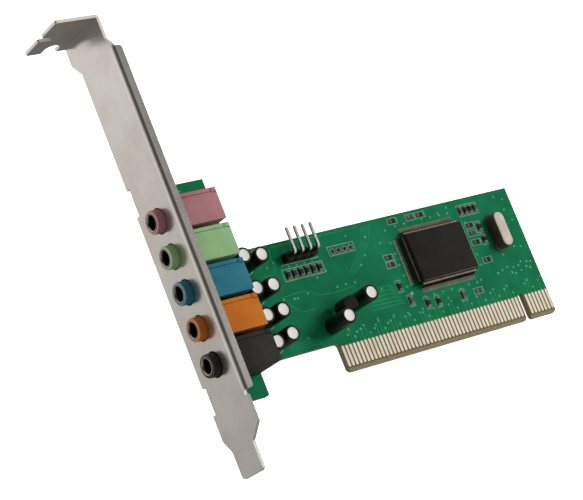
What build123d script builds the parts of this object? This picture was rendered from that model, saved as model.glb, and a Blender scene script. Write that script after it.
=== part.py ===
from build123d import *
import os

# PCI sound card, lying on its solder side.
# The origin is the middle of the key notch at the edge of the connector tongue, halfway through the board.
# +X runs along the board away from the bracket, +Y up the bracket and +Z out of the component side.

# Circuit board
BOARD_T = 1.57
BOARD_TOP = 37.6
TONGUE_H = 8.0
STRIP_ABOVE_JACK = 5.92
STRIP_UPPER_W = 19.4
STRIP_LOWER_W = 14.6
BOARD_CORNER_R = 1.0
STRIP_CORNER_R = 0.6
EDGE_BEVEL_H = 1.0
EDGE_BEVEL_D = 0.4

# Edge contacts
CONTACT_PITCH = 1.27
LONG_ROW_COUNT = 49
SHORT_ROW_COUNT = 7
KEY_POSITION_COUNT = 2
KEY_W = 1.78
KEY_DEPTH = 7.5
KEY_CORNER_R = 0.7
CONTACT_W = 0.9
CONTACT_L = 5.75
CONTACT_T = 0.05
CONTACT_SETBACK = 1.3
CONTACT_MARGIN = 0.65

# Slot bracket, one folded sheet
BRACKET_X = -105.2
SHEET_T = 0.86
BEND_R = 0.2
BRACKET_H = 120.02
BRACKET_W = 18.42
BRACKET_DROP = 18.1
SOLDER_OVERHANG = 1.5
TAB_DEPTH = 11.8
TAB_SHIFT = 3.1
SHOULDER_Y = 92.5
SHOULDER_H = 3.6
COMPONENT_SHOULDER_H = 2.7
COMPONENT_EDGE_INSET = 1.1
TAB_SLOT_W = 2.0
TAB_SLOT_L = 3.9
TAB_SLOT_FROM_EDGE = 8.9
TAB_CORNER_R = 0.8
SCREW_NOTCH_R = 2.21
SCREW_NOTCH_X = 5.1
SCREW_NOTCH_DEPTH = 2.0
FLANGE_BEND_R = 0.5
FLANGE_FLAT = 1.39
FLANGE_CORNER_R = 0.9
FLANGE_BOTTOM = 1.0
FLANGE_TOP_GAP = 0.2
RELIEF_W = 1.4
RELIEF_D = 0.9
TONGUE_W = 10.0
TONGUE_INSET = 2.4
TONGUE_SHOULDER_Y = -7.3
TONGUE_TAPER_H = 3.5
TONGUE_R = 1.3
EAR_W = 7.2
EAR_L = 9.0
EAR_SHIFT = 1.0
BOARD_GAP = 0.4

# Bracket screws
SCREW_R = 1.45
SCREW_HEAD_R = 2.5
SCREW_HEAD_H = 1.8
SCREW_INSET = 3.0
SCREW_FROM_BRACKET = 5.4
SCREW_CLEARANCE = 0.05
BOARD_HOLE_R = 1.7

# Audio jacks, from the edge connector upwards
JACK_COLOURS = ["black", "orange", "blue", "green", "pink"]
JACK_PITCH = 9.52
JACK_FIRST_Y = 10.1
JACK_AXIS_H = 5.9
JACK_W = 8.4
JACK_H = 11.3
JACK_L = 14.5
JACK_GAP = 0.1
BUSHING_R = 3.0
BUSHING_OUT = 2.4
BUSHING_EDGE = 0.3
JACK_HOLE_CLEARANCE = 0.4
LID_SEAM_W = 0.25
LID_SEAM_D = 0.2
LID_SEAM_FROM_EDGE = 1.0
LID_SEAM_END = 1.6

# Jack sleeve and spring contacts
SLEEVE_R = 2.5
BORE_R = 1.8
REAR_BORE_R = 1.95
SLEEVE_L = 6.0
SLEEVE_PROUD = 0.15
BORE_DEPTH = 14.5
LEG_T = 0.4
LEG_W = 1.2
LEG_CLEARANCE = 0.1
SPRING_H = 1.2
SPRING_L = 4.5
SPRING_GAP = 0.15
TIP_SPRING_BACK = 1.4
RING_SPRING_AHEAD = 0.4

# Electrolytic capacitors
CAP_R = 2.2
CAP_H = 9.0
CAP_RIM_W = 0.5
CAP_RIM_H = 0.2
CAP_JACK_GAP = 0.3
CAP_COLUMN_GAP = 0.7
INNER_CAP_Y = [11.0, 18.1, 25.4, 34.2]
OUTER_CAP_Y = [12.0, 18.4, 25.2, 33.4]
FREE_CAP_PLACES = [(-63.7, 12.6), (-54.4, 16.9)]

# Right-angle pin header
HEADER_X = -65.5
HEADER_Y = 32.75
HEADER_PIN_COUNT = 4
HEADER_PITCH = 2.54
HEADER_DEPTH = 2.5
HEADER_H = 2.5
PIN_W = 0.64
PIN_RISE = 2.5
PIN_REACH = 6.9
PIN_BEND = 0.5

# Controller chip
CHIP_X = -22.0
CHIP_Y = 24.1
CHIP_L = 20.0
CHIP_W = 14.0
CHIP_T = 2.7
CHIP_STANDOFF = 0.3
CHIP_DRAFT = 8
LEAD_PITCH = 0.5
LEAD_W = 0.22
LEAD_T = 0.15
LEAD_REACH = 1.9
LONG_SIDE_LEAD_COUNT = 38
SHORT_SIDE_LEAD_COUNT = 26

# Crystal
CRYSTAL_X = 0.75
CRYSTAL_Y = 25.7
CRYSTAL_FLANGE_L = 11.05
CRYSTAL_FLANGE_W = 4.65
CRYSTAL_FLANGE_T = 0.4
CRYSTAL_RIM = 0.5
CRYSTAL_H = 3.6
CRYSTAL_EDGE = 0.6

# Three-lead regulator
REGULATOR_X = -60.6
REGULATOR_Y = 15.7
REGULATOR_R = 2.2
REGULATOR_FLAT = 1.0
REGULATOR_H = 4.8
REGULATOR_STANDOFF = 2.5
REGULATOR_PITCH = 1.27
REGULATOR_LEAD_W = 0.45

# Chip resistors and capacitors: length, width, height and end fillet
CHIP_PART_L = 2.0
CHIP_PART_W = 1.1
CHIP_PART_T = 0.6
CHIP_FILLET = 0.4
RESISTOR_ROW_X = -70.5
RESISTOR_ROW_Y = 28.5
RESISTOR_ROW_COUNT = 6
RESISTOR_ROW_PITCH = 2.04
ALONG_Y_PLACES = [
    (-8.4, 34.1), (-6.6, 34.1), (-4.8, 34.1), (-3.0, 34.1), (-4.2, 28.6), (-4.2, 24.9),
    (-18.8, 11.4), (-27.6, 11.6), (-31.2, 11.9), (-36.2, 13.7), (-38.1, 18.2),
]
ALONG_X_PLACES = [
    (-32.0, 35.9), (-25.7, 35.8), (-22.3, 35.8), (-7.2, 29.6), (-7.2, 27.3), (-7.2, 24.6),
    (-5.9, 19.1), (-13.1, 11.5), (-37.8, 26.4), (-37.8, 24.4),
]

# Open plated holes beside the header, and the solder joints on the back
SPARE_HOLE_X = -54.4
SPARE_HOLE_Y = 31.7
SPARE_HOLE_PITCH = 2.0
SPARE_HOLE_COUNT = 4
SPARE_HOLE_R = 0.5
SOLDER_BASE_R = 1.0
SOLDER_H = 1.1
SOLDER_SLOPE = 25
SLIM_SOLDER_SLOPE = 18
SOLDER_GAP = 0.1

# Round forms that repeat are drawn with flats, so that a row of them stays light
TURNED_FLATS = 16
SEAT_FLATS = 12
SPARE_HOLE_FLATS = 8
SOLDER_FLAT_COUNT = 6

# The share of a flat that a rounded corner may take up
FILLET_SHARE = 0.97

# Levels and places worked out from the sizes above
COMP_Z = BOARD_T / 2
SOLDER_Z = -BOARD_T / 2
PLATE_BACK_X = BRACKET_X + SHEET_T
BEND_OUTER_R = BEND_R + SHEET_T
FLANGE_OUTER_R = FLANGE_BEND_R + SHEET_T
BOARD_X0 = PLATE_BACK_X + BOARD_GAP
LONG_ROW_X = -(LONG_ROW_COUNT + KEY_POSITION_COUNT / 2 - 0.5) * CONTACT_PITCH
SHORT_ROW_X = (KEY_POSITION_COUNT / 2 + 0.5) * CONTACT_PITCH
TONGUE_X0 = LONG_ROW_X - CONTACT_MARGIN
TONGUE_X1 = SHORT_ROW_X + (SHORT_ROW_COUNT - 1) * CONTACT_PITCH + CONTACT_MARGIN
PLATE_Z0 = SOLDER_Z - SOLDER_OVERHANG
PLATE_Z1 = PLATE_Z0 + BRACKET_W
PLATE_Y0 = -BRACKET_DROP
PLATE_Y1 = PLATE_Y0 + BRACKET_H
FLANGE_TOP = SHOULDER_Y - FLANGE_TOP_GAP
JACK_YS = [JACK_FIRST_Y + i * JACK_PITCH for i in range(len(JACK_COLOURS))]
STRIP_TOP = JACK_YS[-1] + JACK_W / 2 + STRIP_ABOVE_JACK
SCREW_X = PLATE_BACK_X + SCREW_FROM_BRACKET
SCREW_YS = [SCREW_INSET, STRIP_TOP - SCREW_INSET]
EAR_YS = [SCREW_YS[0], SCREW_YS[1] + EAR_SHIFT]
JACK_X0 = PLATE_BACK_X + JACK_GAP
JACK_X1 = JACK_X0 + JACK_L
JACK_Z = COMP_Z + JACK_AXIS_H
BUSHING_X = BRACKET_X - BUSHING_OUT
BORE_END_X = BUSHING_X + BORE_DEPTH
INNER_CAP_X = JACK_X1 + CAP_JACK_GAP + CAP_R
OUTER_CAP_X = INNER_CAP_X + 2 * CAP_R + CAP_COLUMN_GAP
CAP_PLACES = (
    [(INNER_CAP_X, y) for y in INNER_CAP_Y]
    + [(OUTER_CAP_X, y) for y in OUTER_CAP_Y]
    + FREE_CAP_PLACES
)


def span_box(x0, x1, y0, y1, z0, z1):
    """A block between three pairs of limits."""
    return Pos((x0 + x1) / 2, (y0 + y1) / 2, (z0 + z1) / 2) * Box(x1 - x0, y1 - y0, z1 - z0)


def flat_round(radius, height, flats=TURNED_FLATS):
    """An upright turned part on the XY plane, drawn with flats."""
    return extrude(RegularPolygon(radius, flats), height)


def along_x(shape, x, y, z):
    """Stands an upright part along +X with its foot at the given point."""
    return Pos(x, y, z) * Rot(0, 90, 0) * shape


def bent_strip(origin, out_dir, fold_dir, out_leg, width, bend_r=BEND_R):
    """A strip of sheet folded square: one leg in the plate, one leg out of it, with a round bend."""
    outer_r = bend_r + SHEET_T
    plate_leg = 2 * outer_r
    corner = [
        (0, 0), (out_leg, 0), (out_leg, SHEET_T), (SHEET_T, SHEET_T), (SHEET_T, plate_leg), (0, plate_leg),
    ]
    profile = make_face(Polyline(*corner, close=True))
    outer = profile.vertices().sort_by_distance((0, 0))[0]
    profile = fillet(outer, outer_r)
    inner = profile.vertices().sort_by_distance((SHEET_T, SHEET_T))[0]
    profile = fillet(inner, bend_r)
    return extrude(Plane(origin, x_dir=out_dir, z_dir=fold_dir) * profile, width)


def make_bracket():
    """The folded sheet: plate and tongue, tab, flange and two ears."""
    solder = PLATE_Z0
    component = PLATE_Z1 - COMPONENT_EDGE_INSET
    tab0 = PLATE_Z0 - TAB_SHIFT
    tab1 = PLATE_Z1 - TAB_SHIFT
    tongue0 = solder + TONGUE_INSET
    tongue1 = tongue0 + TONGUE_W
    taper_y = TONGUE_SHOULDER_Y - TONGUE_TAPER_H
    plate_top = PLATE_Y1 - BEND_OUTER_R
    outline = [
        (PLATE_Y0, tongue0), (taper_y, tongue0), (TONGUE_SHOULDER_Y, solder), (SHOULDER_Y, solder),
        (SHOULDER_Y + SHOULDER_H, tab0), (plate_top, tab0), (plate_top, tab1),
        (SHOULDER_Y + COMPONENT_SHOULDER_H, tab1), (SHOULDER_Y, component), (TONGUE_SHOULDER_Y, component),
        (taper_y, tongue1), (PLATE_Y0, tongue1),
    ]
    plate_plane = Plane((BRACKET_X, 0, 0), x_dir=(0, 1, 0), z_dir=(1, 0, 0))
    face = make_face(Polyline(*outline, close=True))
    tip = face.vertices().sort_by(Axis.X)[:2]
    plate = extrude(plate_plane * fillet(tip, TONGUE_R), SHEET_T)
    hole = flat_round(BUSHING_R + JACK_HOLE_CLEARANCE, SHEET_T)
    for y in JACK_YS:
        plate -= along_x(hole, BRACKET_X, y, JACK_Z)

    ear_z = SOLDER_Z - SHEET_T
    bend_start = ear_z + BEND_OUTER_R
    for y in EAR_YS:
        plate -= span_box(BRACKET_X, PLATE_BACK_X, y - EAR_W / 2, y + EAR_W / 2, solder, bend_start)
    plate -= span_box(
        BRACKET_X, PLATE_BACK_X, FLANGE_BOTTOM, FLANGE_TOP, component - FLANGE_OUTER_R, component
    )
    plate -= span_box(
        BRACKET_X, PLATE_BACK_X, FLANGE_BOTTOM - RELIEF_W, FLANGE_BOTTOM, component - RELIEF_D, component
    )

    flange_l = FLANGE_TOP - FLANGE_BOTTOM
    flange_start = (BRACKET_X, FLANGE_BOTTOM, component)
    flange_depth = FLANGE_OUTER_R + FLANGE_FLAT
    flange = bent_strip(flange_start, (1, 0, 0), (0, 1, 0), flange_depth, flange_l, FLANGE_BEND_R)
    free_corners = flange.edges().filter_by(Axis.Z).group_by(Axis.X)[-1]
    bracket = plate + fillet(free_corners, min(FLANGE_CORNER_R, FLANGE_FLAT * FILLET_SHARE))
    for y, screw_y in zip(EAR_YS, SCREW_YS):
        ear_start = (BRACKET_X, y + EAR_W / 2, ear_z)
        ear = bent_strip(ear_start, (1, 0, 0), (0, -1, 0), SHEET_T + EAR_L, EAR_W)
        ear -= Pos(SCREW_X, screw_y, ear_z) * flat_round(SCREW_R + SCREW_CLEARANCE, SHEET_T)
        bracket += ear
    return bracket + make_tab()


def make_tab():
    """The tab that bends outwards at the top, with its open slot and the notch for the case screw."""
    edge = PLATE_Z0 - TAB_SHIFT
    tip_x = BRACKET_X - TAB_DEPTH
    tab_l = PLATE_BACK_X - tip_x
    tab_start = (PLATE_BACK_X, PLATE_Y1, edge)
    tab = bent_strip(tab_start, (-1, 0, 0), (0, 0, 1), tab_l, BRACKET_W)
    through = 4 * SHEET_T
    slot_z = edge + TAB_SLOT_FROM_EDGE
    tab -= span_box(
        tip_x, tip_x + TAB_SLOT_L, PLATE_Y1 - through, PLATE_Y1 + through,
        slot_z - TAB_SLOT_W / 2, slot_z + TAB_SLOT_W / 2,
    )
    notch_x = BRACKET_X - SCREW_NOTCH_X
    notch_z = edge + SCREW_NOTCH_DEPTH
    tab -= Pos(notch_x, PLATE_Y1, notch_z) * Rot(90, 0, 0) * Cylinder(SCREW_NOTCH_R, through)
    tab -= span_box(
        notch_x - SCREW_NOTCH_R, notch_x + SCREW_NOTCH_R, PLATE_Y1 - through / 2, PLATE_Y1 + through / 2,
        edge, notch_z,
    )
    tip_corners = tab.edges().filter_by(Axis.Y).group_by(Axis.X)[0]
    return fillet(tip_corners, TAB_CORNER_R)


def make_board():
    """The board outline with its tongue, key notch and tall strip, bevelled along the connector edge."""
    strip_low_x = BOARD_X0 + STRIP_LOWER_W
    strip_high_x = BOARD_X0 + STRIP_UPPER_W
    outline = [
        (BOARD_X0, 0), (strip_low_x, 0), (strip_low_x, TONGUE_H), (TONGUE_X0, TONGUE_H), (TONGUE_X0, 0),
        (TONGUE_X1, 0), (TONGUE_X1, BOARD_TOP), (strip_high_x, BOARD_TOP), (strip_high_x, STRIP_TOP),
        (BOARD_X0, STRIP_TOP),
    ]
    face = make_face(Polyline(*outline, close=True))
    rounded = [
        (strip_low_x, 0, STRIP_CORNER_R), (TONGUE_X0, 0, BOARD_CORNER_R),
        (TONGUE_X0, TONGUE_H, BOARD_CORNER_R), (TONGUE_X1, 0, BOARD_CORNER_R),
    ]
    for x, y, radius in rounded:
        vertex = face.vertices().sort_by_distance((x, y))[0]
        face = fillet(vertex, radius)
    key = Pos(0, KEY_DEPTH / 2) * Rectangle(KEY_W, KEY_DEPTH)
    face -= key
    for side in (-1, 1):
        vertex = face.vertices().sort_by_distance((side * KEY_W / 2, 0))[0]
        face = fillet(vertex, KEY_CORNER_R)
    board = extrude(Pos(0, 0, SOLDER_Z) * face, BOARD_T)
    for side in (1, -1):
        level = side * BOARD_T / 2
        wedge = [(0, level), (0, level - side * EDGE_BEVEL_D), (EDGE_BEVEL_H, level)]
        bevel = make_face(Polyline(*wedge, close=True))
        sweep_plane = Plane((TONGUE_X0, 0, 0), x_dir=(0, 1, 0), z_dir=(1, 0, 0))
        board -= extrude(sweep_plane * bevel, TONGUE_X1 - TONGUE_X0)
    for y in SCREW_YS:
        board -= Pos(SCREW_X, y, SOLDER_Z) * flat_round(BOARD_HOLE_R, BOARD_T)
    for i in range(SPARE_HOLE_COUNT):
        hole_x = SPARE_HOLE_X + i * SPARE_HOLE_PITCH
        board -= Pos(hole_x, SPARE_HOLE_Y, SOLDER_Z) * flat_round(SPARE_HOLE_R, BOARD_T, SPARE_HOLE_FLATS)
    return board


def make_contacts(z0):
    """One side's row of gold contacts, laid on the board from the given level."""
    row = [LONG_ROW_X + i * CONTACT_PITCH for i in range(LONG_ROW_COUNT)]
    row += [SHORT_ROW_X + i * CONTACT_PITCH for i in range(SHORT_ROW_COUNT)]
    top = CONTACT_SETBACK + CONTACT_L
    half = CONTACT_W / 2
    return [span_box(x - half, x + half, CONTACT_SETBACK, top, z0, z0 + CONTACT_T) for x in row]


def make_screws():
    """Pan-head screws that hold the board to the bracket's ears."""
    shank_l = BOARD_T + SHEET_T
    screws = []
    for y in SCREW_YS:
        shank = Pos(SCREW_X, y, COMP_Z - shank_l) * flat_round(SCREW_R, shank_l)
        head = Pos(SCREW_X, y, COMP_Z) * flat_round(SCREW_HEAD_R, SCREW_HEAD_H)
        screws.append(shank + head)
    return screws


def spring_spans():
    """The tip and ring springs of a jack: side of the bore, and the X limits of the strip."""
    tip_x1 = BORE_END_X - TIP_SPRING_BACK
    ring_x0 = BUSHING_X + SLEEVE_L + RING_SPRING_AHEAD
    return [(1, tip_x1 - SPRING_L, tip_x1), (-1, ring_x0, ring_x0 + SPRING_L)]


def make_housing(y):
    """A moulded jack body with its bushing, bored for the plug and slotted for the contacts."""
    x1 = JACK_X1
    body = span_box(JACK_X0, x1, y - JACK_W / 2, y + JACK_W / 2, COMP_Z, COMP_Z + JACK_H)
    bushing = flat_round(BUSHING_R, JACK_X0 - BUSHING_X)
    mouth = bushing.faces().sort_by(Axis.Z)[0]
    bushing = chamfer(mouth.edges(), BUSHING_EDGE)
    body += along_x(bushing, BUSHING_X, y, JACK_Z)
    body -= along_x(flat_round(SLEEVE_R, SLEEVE_L, SEAT_FLATS), BUSHING_X, y, JACK_Z)
    body -= along_x(flat_round(REAR_BORE_R, BORE_DEPTH, SEAT_FLATS), BUSHING_X, y, JACK_Z)
    seam_y = y + JACK_W / 2 - LID_SEAM_FROM_EDGE
    top = COMP_Z + JACK_H
    body -= span_box(JACK_X0, x1 - LID_SEAM_END, seam_y - LID_SEAM_W, seam_y, top - LID_SEAM_D, top)
    body -= span_box(
        x1 - LID_SEAM_END - LID_SEAM_W, x1 - LID_SEAM_END, seam_y, y + JACK_W / 2, top - LID_SEAM_D, top
    )
    room = LEG_CLEARANCE
    for side, sx0, sx1 in spring_spans():
        near = y + side * (BORE_R + SPRING_GAP - room)
        far = y + side * (BORE_R + SPRING_GAP + LEG_T + room)
        body -= span_box(
            sx0 - room, sx1 + room, min(near, far), max(near, far), COMP_Z, JACK_Z + SPRING_H / 2 + room
        )
    leg_x1 = BUSHING_X + SLEEVE_L
    body -= span_box(
        leg_x1 - LEG_T - room, leg_x1, y - LEG_W / 2 - room, y + LEG_W / 2 + room, COMP_Z, JACK_Z
    )
    return body


def make_sleeve(y):
    """The nickel sleeve in the jack's mouth, with the leg that grounds it."""
    start = BUSHING_X - SLEEVE_PROUD
    length = SLEEVE_L + SLEEVE_PROUD
    sleeve = along_x(flat_round(SLEEVE_R, length, SEAT_FLATS), start, y, JACK_Z)
    leg_x1 = BUSHING_X + SLEEVE_L
    sleeve += span_box(leg_x1 - LEG_T, leg_x1, y - LEG_W / 2, y + LEG_W / 2, COMP_Z, JACK_Z)
    return sleeve - along_x(extrude(Circle(BORE_R), length), start, y, JACK_Z)


def make_springs(y):
    """The tip and ring contacts: a strip beside the bore with a leg down to the board."""
    springs = []
    for side, x0, x1 in spring_spans():
        near = y + side * (BORE_R + SPRING_GAP)
        far = near + side * LEG_T
        y0, y1 = min(near, far), max(near, far)
        strip = span_box(x0, x1, y0, y1, JACK_Z - SPRING_H / 2, JACK_Z + SPRING_H / 2)
        leg = span_box(x1 - LEG_W, x1, y0, y1, COMP_Z, JACK_Z)
        springs.append(strip + leg)
    return springs


def make_capacitor(x, y):
    """A sealed can in its sleeve, with the sleeve's rim standing round the flat top."""
    can = flat_round(CAP_R, CAP_H)
    can -= Pos(0, 0, CAP_H - CAP_RIM_H) * flat_round(CAP_R - CAP_RIM_W, CAP_RIM_H)
    return Pos(x, y, COMP_Z) * can


def header_xs():
    first = HEADER_X - (HEADER_PIN_COUNT - 1) * HEADER_PITCH / 2
    return [first + i * HEADER_PITCH for i in range(HEADER_PIN_COUNT)]


def make_header_pins():
    """Square pins that stand up through the base and bend over towards the board's top edge."""
    half = PIN_W / 2
    top = HEADER_H + PIN_RISE + half
    bend = [
        (-half, 0), (half, 0), (half, top - PIN_W), (PIN_REACH, top - PIN_W), (PIN_REACH, top),
        (PIN_BEND - half, top), (-half, top - PIN_BEND),
    ]
    profile = make_face(Polyline(*bend, close=True))
    pins = []
    for x in header_xs():
        side = Plane((x - half, HEADER_Y, COMP_Z), x_dir=(0, 1, 0), z_dir=(1, 0, 0))
        pins.append(extrude(side * profile, PIN_W))
    return pins


def make_header_base(pins):
    """The moulded base that the pins stand in."""
    half_l = HEADER_PIN_COUNT * HEADER_PITCH / 2
    base = span_box(
        HEADER_X - half_l, HEADER_X + half_l, HEADER_Y - HEADER_DEPTH / 2, HEADER_Y + HEADER_DEPTH / 2,
        COMP_Z, COMP_Z + HEADER_H,
    )
    for pin in pins:
        base -= pin
    return base


def make_chip():
    """The moulded chip body: two drafted halves that meet at the lead line."""
    half_t = CHIP_T / 2
    middle = COMP_Z + CHIP_STANDOFF + half_t
    outline = Rectangle(CHIP_L, CHIP_W)
    upper = extrude(outline, half_t, taper=CHIP_DRAFT)
    body = upper + mirror(upper, Plane.XY)
    return Pos(CHIP_X, CHIP_Y, middle) * body


def make_chip_leads():
    """Leads on four sides, from the lead line of the body down to the board."""
    middle = COMP_Z + CHIP_STANDOFF + CHIP_T / 2
    drop = middle - COMP_Z
    profile = make_face(
        Polyline((0, 0), (0, -LEAD_T), (LEAD_REACH, -drop), (LEAD_REACH, LEAD_T - drop), close=True)
    )
    leads = []
    for turn, reach, count in (
        (0, CHIP_L / 2, SHORT_SIDE_LEAD_COUNT), (90, CHIP_W / 2, LONG_SIDE_LEAD_COUNT),
        (180, CHIP_L / 2, SHORT_SIDE_LEAD_COUNT), (270, CHIP_W / 2, LONG_SIDE_LEAD_COUNT),
    ):
        for i in range(count):
            shift = (i - (count - 1) / 2) * LEAD_PITCH
            plane = Plane((reach, shift + LEAD_W / 2, 0), x_dir=(1, 0, 0), z_dir=(0, -1, 0))
            lead = extrude(plane * profile, LEAD_W)
            leads.append(Pos(CHIP_X, CHIP_Y, middle) * Rot(0, 0, turn) * lead)
    return leads


def make_crystal_base():
    """The flanged base plate of the crystal."""
    plate = SlotOverall(CRYSTAL_FLANGE_L, CRYSTAL_FLANGE_W, rotation=90)
    return Pos(CRYSTAL_X, CRYSTAL_Y, COMP_Z) * extrude(plate, CRYSTAL_FLANGE_T)


def make_crystal_can():
    """The drawn can on the base, eased along its top edge."""
    rims = 2 * CRYSTAL_RIM
    outline = SlotOverall(CRYSTAL_FLANGE_L - rims, CRYSTAL_FLANGE_W - rims, rotation=90)
    can = extrude(outline, CRYSTAL_H - CRYSTAL_FLANGE_T)
    can = chamfer(can.edges().group_by(Axis.Z)[-1], CRYSTAL_EDGE)
    return Pos(CRYSTAL_X, CRYSTAL_Y, COMP_Z + CRYSTAL_FLANGE_T) * can


def make_regulator():
    """A round-backed moulded body with its flat towards the connector edge."""
    section = Circle(REGULATOR_R) - Pos(0, -REGULATOR_R) * Rectangle(
        2 * REGULATOR_R, 2 * (REGULATOR_R - REGULATOR_FLAT)
    )
    return Pos(REGULATOR_X, REGULATOR_Y, COMP_Z + REGULATOR_STANDOFF) * extrude(section, REGULATOR_H)


def make_regulator_leads():
    lead = extrude(Rectangle(REGULATOR_LEAD_W, REGULATOR_LEAD_W), REGULATOR_STANDOFF)
    return [Pos(REGULATOR_X + i * REGULATOR_PITCH, REGULATOR_Y, COMP_Z) * lead for i in (-1, 0, 1)]


def chip_part_places():
    """Each small part's place and its turn about Z."""
    row = [(RESISTOR_ROW_X + i * RESISTOR_ROW_PITCH, RESISTOR_ROW_Y, 90) for i in range(RESISTOR_ROW_COUNT)]
    row += [(x, y, 90) for x, y in ALONG_Y_PLACES]
    row += [(x, y, 0) for x, y in ALONG_X_PLACES]
    return row


def make_chip_parts():
    """Ceramic bodies of the small resistors and capacitors."""
    body = Pos(0, 0, COMP_Z + CHIP_PART_T / 2) * Box(CHIP_PART_L, CHIP_PART_W, CHIP_PART_T)
    return [Pos(x, y, 0) * Rot(0, 0, turn) * body for x, y, turn in chip_part_places()]


def make_chip_fillets():
    """Solder fillets against both ends of each small part."""
    wedge = make_face(Polyline((0, 0), (CHIP_FILLET, 0), (0, CHIP_PART_T), close=True))
    plane = Plane((CHIP_PART_L / 2, CHIP_PART_W / 2, COMP_Z), x_dir=(1, 0, 0), z_dir=(0, -1, 0))
    fillet_end = extrude(plane * wedge, CHIP_PART_W)
    return [
        Pos(x, y, 0) * Rot(0, 0, turn + end) * fillet_end
        for x, y, turn in chip_part_places() for end in (0, 180)
    ]


def solder_places():
    """Every leg that is soldered through the board, apart from the regulator's."""
    places = []
    for y in JACK_YS:
        places.append((BUSHING_X + SLEEVE_L - LEG_T / 2, y))
        for side, _, x1 in spring_spans():
            places.append((x1 - LEG_W / 2, y + side * (BORE_R + SPRING_GAP + LEG_T / 2)))
    places += [(x + dx, y) for x, y in CAP_PLACES for dx in (-CAP_R / 2, CAP_R / 2)]
    places += [(x, HEADER_Y) for x in header_xs()]
    half_span = (CRYSTAL_FLANGE_L - CRYSTAL_FLANGE_W) / 2
    places += [(CRYSTAL_X, CRYSTAL_Y + end * half_span) for end in (-1, 1)]
    return places


def make_solder_joints():
    """Cones of solder on the back of the board, one for each leg, and slim where the legs stand close."""
    wide = extrude(RegularPolygon(SOLDER_BASE_R, SOLDER_FLAT_COUNT), SOLDER_H, taper=SOLDER_SLOPE)
    slim_r = (REGULATOR_PITCH - SOLDER_GAP) / 2
    slim = extrude(RegularPolygon(slim_r, SOLDER_FLAT_COUNT), SOLDER_H, taper=SLIM_SOLDER_SLOPE)
    joints = [(wide, x, y) for x, y in solder_places()]
    joints += [(slim, REGULATOR_X + i * REGULATOR_PITCH, REGULATOR_Y) for i in (-1, 0, 1)]
    return [Pos(x, y, SOLDER_Z) * Rot(180, 0, 0) * cone for cone, x, y in joints]


def write(name, solids):
    """Writes one node: a single solid, or a group of separate ones."""
    shape = Compound(children=solids) if isinstance(solids, list) else solids
    export_step(shape, os.path.join("parts", name + ".step"))


def main():
    os.makedirs("parts", exist_ok=True)
    write("bracket", make_bracket())
    write("bracket_screws", make_screws())
    write("circuit_board", make_board())
    write("edge_contacts_front", make_contacts(COMP_Z))
    write("edge_contacts_back", make_contacts(SOLDER_Z - CONTACT_T))
    for colour, y in zip(JACK_COLOURS, JACK_YS):
        write(colour + "_jack_housing", make_housing(y))
        write(colour + "_jack_sleeve", make_sleeve(y))
        write(colour + "_jack_springs", make_springs(y))
    for number, (x, y) in enumerate(CAP_PLACES, start=1):
        write(f"capacitor_{number:02d}", make_capacitor(x, y))
    pins = make_header_pins()
    write("header_pins", pins)
    write("header_base", make_header_base(pins))
    write("controller_chip", make_chip())
    write("controller_leads", make_chip_leads())
    write("crystal_base", make_crystal_base())
    write("crystal_can", make_crystal_can())
    write("regulator", make_regulator())
    write("regulator_leads", make_regulator_leads())
    write("chip_parts", make_chip_parts())
    write("chip_part_solder", make_chip_fillets())
    write("solder_joints", make_solder_joints())


main()
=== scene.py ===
import math

import bmesh
import bpy
from mathutils import Matrix, Vector


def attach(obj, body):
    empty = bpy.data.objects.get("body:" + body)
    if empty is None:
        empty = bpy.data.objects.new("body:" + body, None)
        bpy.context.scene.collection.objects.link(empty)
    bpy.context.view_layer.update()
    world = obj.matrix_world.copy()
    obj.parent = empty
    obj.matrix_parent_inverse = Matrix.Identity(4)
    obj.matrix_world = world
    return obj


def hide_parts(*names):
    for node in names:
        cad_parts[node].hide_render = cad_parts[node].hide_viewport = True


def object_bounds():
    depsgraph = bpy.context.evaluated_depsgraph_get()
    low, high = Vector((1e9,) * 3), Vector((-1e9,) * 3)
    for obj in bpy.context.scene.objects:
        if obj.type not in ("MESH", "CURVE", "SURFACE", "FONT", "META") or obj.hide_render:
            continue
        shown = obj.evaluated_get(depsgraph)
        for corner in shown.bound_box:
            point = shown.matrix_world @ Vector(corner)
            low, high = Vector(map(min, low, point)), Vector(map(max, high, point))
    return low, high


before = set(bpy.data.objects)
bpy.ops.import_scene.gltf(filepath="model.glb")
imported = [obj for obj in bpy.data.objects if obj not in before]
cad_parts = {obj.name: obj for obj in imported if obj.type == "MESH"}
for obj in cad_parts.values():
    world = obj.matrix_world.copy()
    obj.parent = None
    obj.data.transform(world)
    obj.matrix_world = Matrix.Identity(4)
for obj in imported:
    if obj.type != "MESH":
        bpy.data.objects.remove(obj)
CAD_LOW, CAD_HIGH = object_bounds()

# Sizes of the card in millimetres, in the frame of the solids
MM = 0.001
FRONT = 0.785
BACK = -0.785
PLATE_FACE = -105.2
CONTACT_TOP = 7.05
CONTACT_LOW = 1.3
CONTACT_PITCH = 1.27
LONG_ROW_START = -62.865
LONG_ROW_COUNT = 49
SHORT_ROW_START = 1.905
SHORT_ROW_COUNT = 7

JACK_COLOURS = ["black", "orange", "blue", "green", "pink"]
JACK_YS = [10.1 + 9.52 * i for i in range(5)]
JACK_AXIS = FRONT + 5.9
JACK_START = -104.24
JACK_END = -89.74
JACK_HALF = 4.2
JACK_TOP = FRONT + 11.3
JACK_EASE = 0.1
BORE_R = 2.3
BORE_DEPTH = 10.6
LID_WIDTH = 1.0
SEAM_GAP = 0.14
CLIP_LENGTH = 1.6
SLEEVE_LEG_X = -101.8
SPRING_LEG_XS = (-95.1, -97.3)
SPRING_LEG_ASIDE = 2.15

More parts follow.
